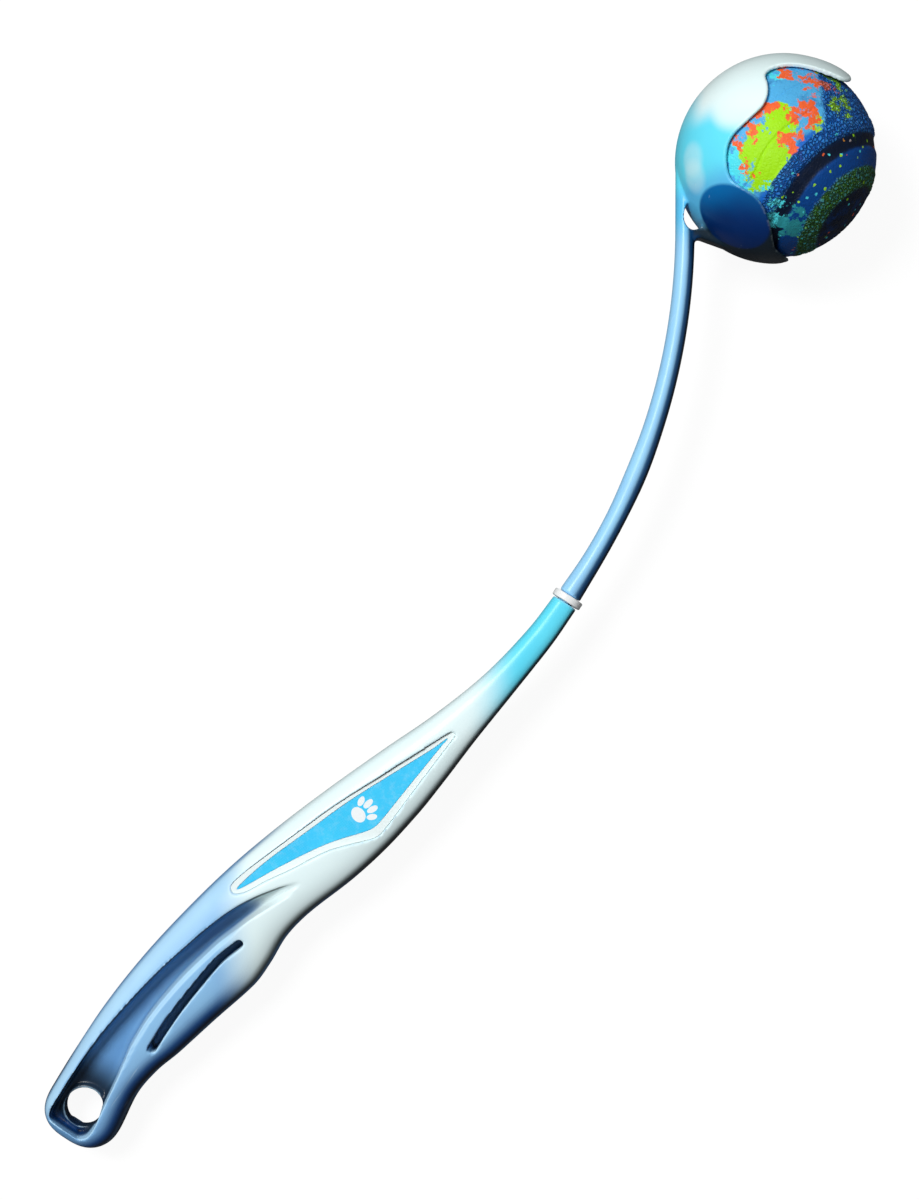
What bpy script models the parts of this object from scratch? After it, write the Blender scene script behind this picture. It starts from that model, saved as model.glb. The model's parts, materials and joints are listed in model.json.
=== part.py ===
"""Hand-held dog ball thrower with its ball, modelled at real size in metres.

The thrower lies on its side. Y runs along the neck towards the cup, X points
to the finger side of the grip, and Z stands square to the mid-plane. Every
object is modelled around the ball's centre, and one empty carries them all.
"""

import math

import bmesh
import bpy
from mathutils import Matrix, Vector

# Ball
BALL_DIAMETER = 0.0642
BALL_WALL = 0.0055
BALL_SPLIT_GAP = 0.0003
BALL_CHANNEL_DEPTH = 0.0009
BALL_CHANNEL_HALF_ANGLE = 6.0
BALL_CHANNEL_EDGE_ANGLE = 7.0
# Latitude of the channel about the axis between the cup's up and its base, in degrees.
BALL_CHANNEL_LATITUDE = -28.0
BALL_CHANNEL_WAVE_ANGLE = 12.0
BALL_CHANNEL_WAVE_START = 20.0
BALL_CHANNEL_WAVES = 2

# Cup
CUP_CLEARANCE = 0.0003
CUP_WALL = 0.0014
CUP_FLARE = 0.0007
CUP_FLARE_START = 80.0
OPENING_TILT = 33.0
# Azimuth about the opening axis from the finger, and angle from that axis, in degrees.
RIM_ANGLES = (
    (0.0, 52.0),
    (24.0, 52.5),
    (38.0, 54.0),
    (45.0, 59.5),
    (44.8, 68.0),
    (43.0, 77.0),
    (41.6, 86.0),
    (41.6, 95.0),
    (44.2, 102.0),
    (49.6, 105.6),
    (57.0, 105.0),
    (65.0, 105.6),
    (72.5, 109.0),
    (80.0, 117.6),
    (88.0, 126.2),
    (97.0, 129.6),
    (109.0, 129.2),
    (117.0, 125.5),
    (123.4, 113.5),
    (130.0, 107.0),
    (140.0, 102.2),
    (150.0, 99.0),
    (161.0, 96.0),
    (170.0, 90.0),
    (180.0, 85.0),
)

# Gusset between shaft and cup, and the teardrop relief hole through it
GUSSET_DEPTH = 0.0070
GUSSET_DROP = 0.0258
GUSSET_TOUCH_ANGLE = 63.0
GUSSET_FILLET = 0.0014
GUSSET_HOLLOW_SHARE = 0.3
GUSSET_ROUND = 0.0012
RELIEF_LENGTH = 0.0114
RELIEF_WIDTH = 0.0064
RELIEF_DROP = 0.0180
RELIEF_BACK_STRIP = 0.0024
RELIEF_TAPER_SHARE = 0.25

# Shaft
SHAFT_WIDTH = 0.0067
SHAFT_DEPTH = 0.0086
SHAFT_BEND_RADIUS = 0.210
SHAFT_BEND_START = 0.023
SHAFT_STRAIGHT = 0.0075
# Share of the way from the collar to the cup, and share of the shaft's width.
SHAFT_WIDTH_SHARES = (
    (0.00, 1.15),
    (0.09, 1.02),
    (0.20, 1.00),
    (0.30, 1.07),
    (0.42, 1.00),
    (0.75, 0.95),
    (1.00, 0.92),
)

# Plugged joint of neck and shaft
TANG_LENGTH = 0.026
TANG_WIDTH = 0.0050
TANG_DEPTH = 0.0064
JOINT_CLEARANCE = 0.0003
COLLAR_LENGTH = 0.0024
COLLAR_PROUD = 0.0009
COLLAR_BEVEL = 0.0004

# Handle
HANDLE_LENGTH = 0.237
HANDLE_SWEEP = 0.051
GRIP_WIDTH = 0.034
GRIP_DEPTH = 0.022
NECK_WIDTH = 0.0086
NECK_DEPTH = 0.0104
END_ROUND = 0.012
# Share of the handle's length from its end, and share of the sweep of its back.
SPINE_SHARES = (
    (0.000, 0.985),
    (0.100, 1.000),
    (0.185, 0.996),
    (0.269, 0.959),
    (0.353, 0.892),
    (0.437, 0.803),
    (0.521, 0.684),
    (0.605, 0.543),
    (0.689, 0.388),
    (0.773, 0.226),
    (0.857, 0.098),
    (0.942, 0.022),
    (1.000, 0.000),
)
# Share of the handle's length, and share of the width that the grip has over the neck.
WIDTH_SHARES = (
    (0.000, 0.650),
    (0.042, 0.702),
    (0.105, 0.655),
    (0.148, 0.712),
    (0.185, 0.812),
    (0.244, 0.910),
    (0.319, 1.000),
    (0.357, 0.955),
    (0.400, 0.855),
    (0.440, 0.830),
    (0.516, 0.858),
    (0.576, 0.810),
    (0.642, 0.680),
    (0.697, 0.525),
    (0.773, 0.285),
    (0.857, 0.108),
    (0.942, 0.030),
    (1.000, 0.000),
)
# Share of the handle's length, and share of the depth that the grip has over the neck.
DEPTH_SHARES = (
    (0.000, 0.820),
    (0.113, 0.940),
    (0.294, 1.000),
    (0.455, 0.960),
    (0.597, 0.760),
    (0.748, 0.440),
    (0.879, 0.130),
    (1.000, 0.000),
)

# Trough and slot, the same on both sides of the web
WEB_THICKNESS = 0.003
TROUGH_DRAFT = 0.0012
TROUGH_FLOOR_ROUND = 0.0016
TROUGH_CORNER_SHARE = 0.2
# Share of the handle's length, then the shares of its width where the trough starts and ends.
TROUGH_SHARES = (
    (0.016, 0.170, 0.650),
    (0.024, 0.122, 0.720),
    (0.060, 0.120, 0.716),
    (0.105, 0.138, 0.695),
    (0.139, 0.148, 0.620),
    (0.168, 0.158, 0.538),
    (0.205, 0.174, 0.475),
    (0.253, 0.194, 0.444),
    (0.301, 0.216, 0.433),
    (0.345, 0.250, 0.456),
    (0.377, 0.294, 0.515),
    (0.413, 0.369, 0.595),
    (0.440, 0.441, 0.650),
    (0.468, 0.530, 0.700),
    (0.490, 0.615, 0.715),
)
TROUGH_RAMP_START_SHARE = 0.375
SLOT_WIDTH = 0.0027
# Shares of the handle's length and width along the middle of the slot.
SLOT_SHARES = (
    (0.178, 0.733),
    (0.205, 0.683),
    (0.237, 0.641),
    (0.281, 0.598),
    (0.320, 0.570),
    (0.340, 0.582),
    (0.364, 0.628),
)

# Hang hole
HANG_HOLE_DIAMETER = 0.0126
HANG_LIP_WIDTH = 0.0012
HANG_LIP_HEIGHT = 0.0010
HANG_HOLE_END_DISTANCE = 0.0118
HANG_HOLE_WIDTH_SHARE = 0.475

# Label pocket, plate and film on the front side only
LABEL_RECESS = 0.0016
PLATE_THICKNESS = 0.0011
FILM_THICKNESS = 0.0004
# Shares of the handle's length and width around the pocket, from its lower tip.
LABEL_SHARES = (
    (0.417, 0.240),
    (0.424, 0.156),
    (0.447, 0.147),
    (0.487, 0.164),
    (0.524, 0.177),
    (0.581, 0.197),
    (0.620, 0.226),
    (0.660, 0.275),
    (0.699, 0.334),
    (0.737, 0.407),
    (0.764, 0.488),
    (0.764, 0.598),
    (0.744, 0.643),
    (0.665, 0.740),
    (0.605, 0.812),
    (0.586, 0.806),
    (0.538, 0.565),
    (0.486, 0.457),
    (0.457, 0.385),
    (0.428, 0.321),
)
# The same around the film.
FILM_SHARES = (
    (0.425, 0.241),
    (0.447, 0.216),
    (0.486, 0.215),
    (0.542, 0.241),
    (0.607, 0.271),
    (0.678, 0.372),
    (0.730, 0.487),
    (0.754, 0.536),
    (0.741, 0.556),
    (0.666, 0.646),
    (0.606, 0.709),
    (0.591, 0.692),
    (0.543, 0.488),
    (0.484, 0.357),
)
LABEL_FLAT_SHARE = 0.88

# Fineness of the curves, and how far a cut runs past what it cuts
CUP_SEGMENTS = 64
CUP_OUTER_RINGS = 12
CUP_INNER_RINGS = 11
BALL_SEGMENTS = 64
BALL_OUTER_RINGS = 16
BALL_INNER_RINGS = 4
SECTION_SEGMENTS = 20
SHAFT_RINGS = 22
HANDLE_END_RINGS = 7
HANDLE_RINGS = 38
TROUGH_RINGS = 20
HOLE_SEGMENTS = 32
RIM_SAMPLES = 24
HANDLE_SQUARENESS = 2.7
SHAFT_SQUARENESS = 2.3
OVERRUN = 0.004

BALL_RADIUS = BALL_DIAMETER / 2
CUP_INNER_RADIUS = BALL_RADIUS + CUP_CLEARANCE
CUP_OUTER_RADIUS = CUP_INNER_RADIUS + CUP_WALL
OPENING_AXIS = Vector((math.cos(math.radians(OPENING_TILT)), math.sin(math.radians(OPENING_TILT)), 0))
CUP_UP = Vector((-OPENING_AXIS.y, OPENING_AXIS.x, 0))
ACROSS = Vector((0, 0, 1))


def smooth_step(value):
    """Eases a value from 0 to 1 with level ends."""
    value = min(max(value, 0), 1)
    return value * value * (3 - 2 * value)


def curve_value(rows, place, column=1):
    """Reads one column of a table at a place, on a smooth curve through its rows."""
    last = len(rows) - 1
    place = min(max(place, rows[0][0]), rows[last][0])
    row = max(i for i in range(last) if rows[i][0] <= place)

    def slope(i):
        low, high = max(i - 1, 0), min(i + 1, last)
        return (rows[high][column] - rows[low][column]) / (rows[high][0] - rows[low][0])

    step = rows[row + 1][0] - rows[row][0]
    part = (place - rows[row][0]) / step
    start, end = rows[row][column], rows[row + 1][column]
    eased = smooth_step(part)
    leaving = part * (1 - part) ** 2 * step * slope(row)
    arriving = part**2 * (part - 1) * step * slope(row + 1)
    return start + (end - start) * eased + leaving + arriving


def section(centre, side, half_width, half_depth, squareness, segments=SECTION_SEGMENTS):
    """A closed ring between an ellipse and a rectangle, across the direction of the shape."""
    ring = []
    for i in range(segments):
        turn = 2 * math.pi * (i + 0.5) / segments
        across, up = math.cos(turn), math.sin(turn)
        x = math.copysign(abs(across) ** (2 / squareness), across) * half_width
        z = math.copysign(abs(up) ** (2 / squareness), up) * half_depth
        ring.append(centre + side * x + ACROSS * z)
    return ring


def object_from(mesh_builder, name, material=None):
    """Turns a bmesh into an object in the scene, shaded smooth over gentle edges."""
    bmesh.ops.recalc_face_normals(mesh_builder, faces=mesh_builder.faces)
    mesh = bpy.data.meshes.new(name)
    mesh_builder.to_mesh(mesh)
    mesh_builder.free()
    mesh.shade_smooth()
    mesh.set_sharp_from_angle(angle=math.radians(38))
    piece = bpy.data.objects.new(name, mesh)
    bpy.context.scene.collection.objects.link(piece)
    if material:
        mesh.materials.append(material)
    return piece


def guide_from(mesh_builder, name):
    """An object that only cuts or joins, so it is drawn as wire and not rendered."""
    guide = object_from(mesh_builder, name)
    guide.hide_render = True
    guide.display_type = "WIRE"
    return guide


def loft(rings, closed=False):
    """Skins rings of equally many points, and caps the ends unless the loft closes on itself."""
    mesh_builder = bmesh.new()
    loops = [[mesh_builder.verts.new(point) for point in ring] for ring in rings]
    followers = loops[1:] + (loops[:1] if closed else [])
    for loop, following in zip(loops, followers):
        for i in range(len(loop)):
            mesh_builder.faces.new((loop[i - 1], loop[i], following[i], following[i - 1]))
    if not closed:
        mesh_builder.faces.new(loops[0])
        mesh_builder.faces.new(loops[-1])
    return mesh_builder


def prism(outline, low, high):
    """A solid over an outline, between two heights that may depend on the place."""
    floor = [Vector((point.x, point.y, low(point))) for point in outline]
    roof = [Vector((point.x, point.y, high(point))) for point in outline]
    return loft([floor, roof])


def level(height):
    """A height that is the same everywhere."""
    return lambda point: height


def boolean(piece, other, operation):
    """Adds an exact Boolean to a piece."""
    modifier = piece.modifiers.new(f"{operation} {other.name}", "BOOLEAN")
    modifier.object = other
    modifier.operation = operation
    modifier.solver = "EXACT"


def material(name, colour, roughness, coat=0.0):
    """A plain finish with the piece's colour."""
    finish = bpy.data.materials.new(name)
    finish.use_nodes = True
    shader = finish.node_tree.nodes["Principled BSDF"]
    shader.inputs["Base Color"].default_value = (*colour, 1)
    shader.inputs["Roughness"].default_value = roughness
    shader.inputs["Metallic"].default_value = 0
    shader.inputs["Coat Weight"].default_value = coat
    return finish


def meeting_point(first, second):
    """Where two lines of the mid-plane cross, each given as a point and a direction."""
    (start, along), (other, across) = first, second
    gap = other - start
    turning = along.x * across.y - along.y * across.x
    return start + along * ((gap.x * across.y - gap.y * across.x) / turning)


def inset(outline, distance):
    """Moves each side of an outline inwards, or out for a negative distance."""
    count = len(outline)
    area = sum(outline[i - 1].x * outline[i].y - outline[i].x * outline[i - 1].y for i in range(count))
    inward = distance * math.copysign(1, area)
    lines = []
    for i in range(count):
        along = (outline[i] - outline[i - 1]).normalized()
        lines.append((outline[i - 1] + Vector((-along.y, along.x, 0)) * inward, along))
    while True:
        corners = [meeting_point(lines[i - 1], lines[i]) for i in range(len(lines))]
        following = corners[1:] + corners[:1]
        kept = [line for line, a, b in zip(lines, corners, following) if (b - a).dot(line[1]) > 0]
        if len(kept) == len(lines):
            return corners
        lines = kept


# The shaft's middle line, from the collar to the back of the cup


def shaft_back_offset():
    """Distance of the shaft's middle behind the ball, so that its back runs onto the cup's."""
    return CUP_OUTER_RADIUS - SHAFT_WIDTH * SHAFT_WIDTH_SHARES[-1][1] / 2


def shaft_bend_centre():
    """Centre of the arc that the shaft follows."""
    start = -OPENING_AXIS * shaft_back_offset() - CUP_UP * SHAFT_BEND_START
    return start - OPENING_AXIS * SHAFT_BEND_RADIUS


def shaft_lower_end():
    """Point of the middle line where the shaft meets the collar."""
    return shaft_bend_centre() + Vector((SHAFT_BEND_RADIUS, -SHAFT_STRAIGHT, 0))


def shaft_point(place):
    """Point and sideways direction on the middle line, from 0 at the collar to 1 at the cup."""
    bend = SHAFT_BEND_RADIUS * math.radians(OPENING_TILT)
    reach = SHAFT_STRAIGHT + bend + SHAFT_BEND_START
    travelled = place * reach
    if travelled < SHAFT_STRAIGHT:
        return shaft_lower_end() + Vector((0, travelled, 0)), Vector((1, 0, 0))
    if travelled < SHAFT_STRAIGHT + bend:
        angle = (travelled - SHAFT_STRAIGHT) / SHAFT_BEND_RADIUS
        side = Vector((math.cos(angle), math.sin(angle), 0))
        return shaft_bend_centre() + side * SHAFT_BEND_RADIUS, side
    past = travelled - SHAFT_STRAIGHT - bend - SHAFT_BEND_START
    return CUP_UP * past - OPENING_AXIS * shaft_back_offset(), OPENING_AXIS.copy()


# The handle's side, as shares of its length and of its width there


def neck_x():
    """Place of the neck's axis across the thrower."""
    return shaft_lower_end().x


def neck_end_y():
    """Place of the handle's end face, below the collar."""
    return shaft_lower_end().y - 2 * JOINT_CLEARANCE - COLLAR_LENGTH


def handle_y(length_share):
    """Place along the handle, from 0 at its free end to 1 at the neck's face."""
    return neck_end_y() - HANDLE_LENGTH * (1 - length_share)


def handle_back_x(length_share):
    """Place of the handle's back edge."""
    return neck_x() - NECK_WIDTH / 2 - HANDLE_SWEEP * curve_value(SPINE_SHARES, length_share)


def handle_width(length_share):
    """Width of the handle from back to finger side."""
    return NECK_WIDTH + (GRIP_WIDTH - NECK_WIDTH) * curve_value(WIDTH_SHARES, length_share)


def handle_half_depth(length_share):
    """Half of the handle's depth across the mid-plane."""
    return (NECK_DEPTH + (GRIP_DEPTH - NECK_DEPTH) * curve_value(DEPTH_SHARES, length_share)) / 2


def side_point(length_share, width_share):
    """A point of the mid-plane, from the handle's own shares."""
    x = handle_back_x(length_share) + handle_width(length_share) * width_share
    return Vector((x, handle_y(length_share), 0))


def hang_hole_centre():
    """Centre of the hang hole, near the free end."""
    return side_point(HANG_HOLE_END_DISTANCE / HANDLE_LENGTH, HANG_HOLE_WIDTH_SHARE)


# Cup and arm


def cup_direction(azimuth, angle):
    """Unit direction from the ball's centre, from angles about the opening axis."""
    turn = math.radians(azimuth)
    lean = math.radians(angle)
    sideways = CUP_UP * math.cos(turn) + ACROSS * math.sin(turn)
    return OPENING_AXIS * math.cos(lean) + sideways * math.sin(lean)


def rim_angles():
    """Angles of evenly spaced points along one half of the rim, from the finger to the lip."""
    rows = [(i, *pair) for i, pair in enumerate(RIM_ANGLES)]
    places = [i / RIM_SAMPLES for i in range((len(rows) - 1) * RIM_SAMPLES + 1)]
    fine = [(curve_value(rows, place, 1), curve_value(rows, place, 2)) for place in places]
    run = [0.0]
    for before, after in zip(fine, fine[1:]):
        run.append(run[-1] + (cup_direction(*after) - cup_direction(*before)).length)
    half = CUP_SEGMENTS // 2
    picked = []
    for step in range(half + 1):
        wanted = run[-1] * step / half
        picked.append(fine[min(range(len(run)), key=lambda i: abs(run[i] - wanted))])
    return picked


def full_rim():
    """The rim's angles all the way round, with the azimuth each has at the base of the cup."""
    half = rim_angles()
    spread = [(180.0 * i / (len(half) - 1), *pair) for i, pair in enumerate(half)]
    mirrored = [(360.0 - base, 360.0 - azimuth, angle) for base, azimuth, angle in spread[-2:0:-1]]
    return spread + mirrored


def cup_ring(share, radius, past=0.0):
    """One ring of the cup's wall, from 0 at its base to 1 at the rim."""
    ring = []
    for base, azimuth, angle in full_rim():
        turn = base + (azimuth - base) * smooth_step(share)
        lean = 180.0 - (180.0 - angle) * share - math.degrees(past / radius)
        span = CUP_FLARE_START - RIM_ANGLES[0][1]
        flare = CUP_FLARE * smooth_step((CUP_FLARE_START - lean) / span)
        ring.append(cup_direction(turn, lean) * (radius + flare))
    return ring


def cup_shell():
    """The open cup: outer wall to the rim, round its edge, and inner wall back."""
    middle = CUP_OUTER_RADIUS - CUP_WALL / 2
    outer = [cup_ring(i / CUP_OUTER_RINGS, CUP_OUTER_RADIUS) for i in range(1, CUP_OUTER_RINGS + 1)]
    edge = [cup_ring(1, middle, CUP_WALL / 2)]
    inner = [cup_ring(i / CUP_INNER_RINGS, CUP_INNER_RADIUS) for i in range(CUP_INNER_RINGS, 0, -1)]
    return loft(outer + edge + inner)


def ball_space():
    """A ball that clears the shaft and gusset out of the cup, down to the middle of its wall."""
    mesh_builder = bmesh.new()
    bmesh.ops.create_uvsphere(
        mesh_builder,
        u_segments=CUP_SEGMENTS,
        v_segments=CUP_SEGMENTS // 2,
        radius=CUP_INNER_RADIUS + CUP_WALL / 2,
    )
    return guide_from(mesh_builder, "ball_space")


def shaft_solid():
    """The tang, the shoulder at the collar and the shaft, up to the back of the cup."""
    lower = shaft_lower_end()
    side = Vector((1, 0, 0))
    tang_end = lower - Vector((0, JOINT_CLEARANCE + COLLAR_LENGTH + TANG_LENGTH, 0))
    rings = []
    for centre in (tang_end, lower):
        rings.append(section(centre, side, TANG_WIDTH / 2, TANG_DEPTH / 2, SHAFT_SQUARENESS))
    for i in range(SHAFT_RINGS + 1):
        place = i / SHAFT_RINGS
        centre, side = shaft_point(place)
        half_width = SHAFT_WIDTH * curve_value(SHAFT_WIDTH_SHARES, place) / 2
        rings.append(section(centre, side, half_width, SHAFT_DEPTH / 2, SHAFT_SQUARENESS))
    return guide_from(loft(rings), "shaft_solid")


def gusset_solid():
    """The web that fills the corner between the shaft and the underside of the cup."""
    back = shaft_back_offset()
    front = back - SHAFT_WIDTH / 2
    touch = math.radians(GUSSET_TOUCH_ANGLE)
    touching = (-OPENING_AXIS * math.cos(touch) - CUP_UP * math.sin(touch)) * CUP_OUTER_RADIUS
    corner = -OPENING_AXIS * front - CUP_UP * GUSSET_DROP
    down = -CUP_UP * GUSSET_FILLET
    along = (touching - corner).normalized() * GUSSET_FILLET
    outline = [
        -OPENING_AXIS * back,
        -OPENING_AXIS * back - CUP_UP * GUSSET_DROP + down,
        corner + down,
        corner + (down + along) * GUSSET_HOLLOW_SHARE,
        corner + along,
        touching,
        -CUP_UP * BALL_RADIUS / 2,
    ]
    mesh_builder = prism(outline, level(-GUSSET_DEPTH / 2), level(GUSSET_DEPTH / 2))
    flat_edges = [
        edge for edge in mesh_builder.edges if abs(edge.verts[0].co.z - edge.verts[1].co.z) < GUSSET_ROUND
    ]
    bmesh.ops.bevel(
        mesh_builder,
        geom=flat_edges,
        offset=GUSSET_ROUND,
        affect="EDGES",
        segments=2,
        profile=0.5,
    )
    return guide_from(mesh_builder, "gusset_solid")


def relief_cutter():
    """The teardrop hole between the shaft's back strip and the cup."""
    behind = CUP_OUTER_RADIUS - RELIEF_BACK_STRIP - RELIEF_WIDTH / 2
    middle = -OPENING_AXIS * behind - CUP_UP * RELIEF_DROP
    outline = []
    for i in range(HOLE_SEGMENTS):
        turn = 2 * math.pi * i / HOLE_SEGMENTS
        narrowing = 1 - RELIEF_TAPER_SHARE * math.cos(turn)
        across = math.sin(turn) * narrowing * RELIEF_WIDTH / 2
        along = math.cos(turn) * RELIEF_LENGTH / 2
        outline.append(middle + OPENING_AXIS * across + CUP_UP * along)
    reach = SHAFT_DEPTH / 2 + OVERRUN
    return guide_from(prism(outline, level(-reach), level(reach)), "relief_cutter")


def make_arm(finish):
    """The arm: cup, shaft and gusset in one moulding."""
    arm = object_from(cup_shell(), "arm", finish)
    space = ball_space()
    relief = relief_cutter()
    for solid in (shaft_solid(), gusset_solid()):
        boolean(solid, space, "DIFFERENCE")
        boolean(solid, relief, "DIFFERENCE")
        boolean(arm, solid, "UNION")
    return arm


def make_collar(finish):
    """The ring that closes the joint between the neck and the shaft."""
    top = shaft_lower_end().y - JOINT_CLEARANCE
    bottom = top - COLLAR_LENGTH
    hole = (TANG_WIDTH / 2 + JOINT_CLEARANCE, TANG_DEPTH / 2 + JOINT_CLEARANCE)
    rim = (NECK_WIDTH / 2 + COLLAR_PROUD, NECK_DEPTH / 2 + COLLAR_PROUD)
    worn = (rim[0] - COLLAR_BEVEL, rim[1] - COLLAR_BEVEL)
    steps = (
        (bottom, hole),
        (bottom, worn),
        (bottom + COLLAR_BEVEL, rim),
        (top - COLLAR_BEVEL, rim),
        (top, worn),
        (top, hole),
    )
    rings = [
        section(Vector((neck_x(), y, 0)), Vector((1, 0, 0)), *half_sizes, SHAFT_SQUARENESS)
        for y, half_sizes in steps
    ]
    return object_from(loft(rings, closed=True), "collar", finish)


# Handle


def end_rounding(length_share):
    """Share of the full section that is left near the rounded end."""
    inward = min(length_share * HANDLE_LENGTH / END_ROUND, 1)
    return (1 - (1 - inward) ** HANDLE_SQUARENESS) ** (1 / HANDLE_SQUARENESS)


def handle_stations():
    """Shares of the handle's length for its rings, close together at the rounded end."""
    end_share = END_ROUND / HANDLE_LENGTH
    turns = [math.pi / 2 * i / HANDLE_END_RINGS for i in range(1, HANDLE_END_RINGS)]
    tight = [end_share * (1 - math.cos(turn)) for turn in turns]
    even = [end_share + (1 - end_share) * i / HANDLE_RINGS for i in range(HANDLE_RINGS + 1)]
    return tight + even


def handle_body():
    """The handle's outer form, before anything is cut from it."""
    rings = []
    for share in handle_stations():
        rounding = end_rounding(share)
        middle = side_point(share, 0.5)
        half_width = handle_width(share) / 2 * rounding
        half_depth = handle_half_depth(share) * rounding
        rings.append(section(middle, Vector((1, 0, 0)), half_width, half_depth, HANDLE_SQUARENESS))
    return loft(rings)


def trough_floor(length_share):
    """Height of the trough's floor, which runs out to the surface at its upper end."""
    web = WEB_THICKNESS / 2
    ramp = (length_share - TROUGH_RAMP_START_SHARE) / (TROUGH_SHARES[-1][0] - TROUGH_RAMP_START_SHARE)
    return web + (handle_half_depth(length_share) - web) * smooth_step(ramp)


def trough_cutter(face):
    """The deep channel along the grip, on the front or the back face."""
    rings = []
    first, last = TROUGH_SHARES[0][0], TROUGH_SHARES[-1][0]
    for i in range(TROUGH_RINGS + 1):
        share = first + (last - first) * i / TROUGH_RINGS
        back = side_point(share, curve_value(TROUGH_SHARES, share, 1))
        front = side_point(share, curve_value(TROUGH_SHARES, share, 2))
        floor = trough_floor(share)
        roof = handle_half_depth(share) + OVERRUN
        most = (front.x - back.x) * TROUGH_CORNER_SHARE
        draft = min(TROUGH_DRAFT, most)
        corner = min(TROUGH_FLOOR_ROUND, most)
        profile = (
            (back.x, roof),
            (back.x + draft, floor + corner),
            (back.x + draft + corner, floor),
            (front.x - draft - corner, floor),
            (front.x - draft, floor + corner),
            (front.x, roof),
        )
        rings.append([Vector((x, back.y, face * z)) for x, z in profile])
    return loft(rings)


def slot_outline():
    """The slot's outline: a narrow band along a curve, with round ends."""
    middle = [side_point(*shares) for shares in SLOT_SHARES]
    radius = SLOT_WIDTH / 2
    sides = []
    for i, point in enumerate(middle):
        along = (middle[min(i + 1, len(middle) - 1)] - middle[max(i - 1, 0)]).normalized()
        sides.append((point, Vector((-along.y, along.x, 0)), along))
    outline = [point + normal * radius for point, normal, along in sides]
    for (point, normal, along), way in ((sides[-1], 1), (sides[0], -1)):
        for turn in (45, 90, 135):
            bend = math.radians(turn)
            outline.append(point + (normal * math.cos(bend) + along * math.sin(bend)) * radius * way)
        if way == 1:
            outline += [place - across * radius for place, across, direction in reversed(sides)]
    return outline


def slot_cutter(face):
    """The narrow slot beside the trough, on the front or the back face."""
    floor, roof = WEB_THICKNESS / 2, GRIP_DEPTH / 2 + OVERRUN
    return prism(slot_outline(), level(face * floor), level(face * roof))


def cylinder(radius, half_depth, centre):
    """A round solid across the mid-plane."""
    mesh_builder = bmesh.new()
    bmesh.ops.create_cone(
        mesh_builder,
        cap_ends=True,
        segments=HOLE_SEGMENTS,
        radius1=radius,
        radius2=radius,
        depth=2 * half_depth,
        matrix=Matrix.Translation(centre),
    )
    return mesh_builder


def hang_lip():
    """The raised lip round the hang hole, on both faces of the web."""
    radius = HANG_HOLE_DIAMETER / 2 + HANG_LIP_WIDTH
    lip = cylinder(radius, WEB_THICKNESS / 2 + HANG_LIP_HEIGHT, hang_hole_centre())
    bmesh.ops.bevel(
        lip,
        geom=[edge for edge in lip.edges if edge.verts[0].co.z * edge.verts[1].co.z > 0],
        offset=HANG_LIP_WIDTH / 2,
        affect="EDGES",
        segments=2,
        profile=0.5,
    )
    return guide_from(lip, "hang_lip")


def hang_hole():
    """The hole that the thrower hangs by."""
    return guide_from(cylinder(HANG_HOLE_DIAMETER / 2, GRIP_DEPTH, hang_hole_centre()), "hang_hole")


def socket_cutter():
    """The socket in the neck that holds the arm's tang."""
    half_width = TANG_WIDTH / 2 + JOINT_CLEARANCE
    half_depth = TANG_DEPTH / 2 + JOINT_CLEARANCE
    top = neck_end_y() + OVERRUN
    bottom = shaft_lower_end().y - 2 * JOINT_CLEARANCE - COLLAR_LENGTH - TANG_LENGTH
    rings = [
        section(Vector((neck_x(), y, 0)), Vector((1, 0, 0)), half_width, half_depth, SHAFT_SQUARENESS)
        for y in (bottom, top)
    ]
    return guide_from(loft(rings), "socket_cutter")


# Label


def label_outline():
    """The pocket's outline on the handle's front."""
    return [side_point(*shares) for shares in LABEL_SHARES]


def film_outline():
    """The film's outline inside the plate's."""
    return [side_point(*shares) for shares in FILM_SHARES]


def label_floor(point):
    """Height of the pocket's floor, on one plane between the pocket's two tips."""
    shares = [row[0] for row in LABEL_SHARES]
    low, high = min(shares), max(shares)
    heights = [handle_half_depth(share) * LABEL_FLAT_SHARE - LABEL_RECESS for share in (low, high)]
    part = (point.y - handle_y(low)) / (handle_y(high) - handle_y(low))
    return heights[0] + (heights[1] - heights[0]) * part


def above_floor(height):
    """A height over the pocket's floor."""
    return lambda point: label_floor(point) + height


def pocket_cutter():
    """The pocket that the label lies in."""
    return guide_from(prism(label_outline(), above_floor(0), above_floor(OVERRUN)), "pocket_cutter")


def plate_height():
    """Height of the plate's face over the pocket's floor."""
    return JOINT_CLEARANCE + PLATE_THICKNESS


def make_label_plate(finish):
    """The bordered plate, with a recess for the film."""
    outline = inset(label_outline(), JOINT_CLEARANCE)
    solid = prism(outline, above_floor(JOINT_CLEARANCE), above_floor(plate_height()))
    plate = object_from(solid, "label_plate", finish)
    recess = inset(film_outline(), -JOINT_CLEARANCE)
    floor = plate_height() - FILM_THICKNESS - JOINT_CLEARANCE
    cutter = prism(recess, above_floor(floor), above_floor(plate_height() + OVERRUN))
    boolean(plate, guide_from(cutter, "film_recess"), "DIFFERENCE")
    return plate


def make_label_film(finish):
    """The coloured film in the plate's recess."""
    top = plate_height()
    solid = prism(film_outline(), above_floor(top - FILM_THICKNESS), above_floor(top))
    return object_from(solid, "label_film", finish)


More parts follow.
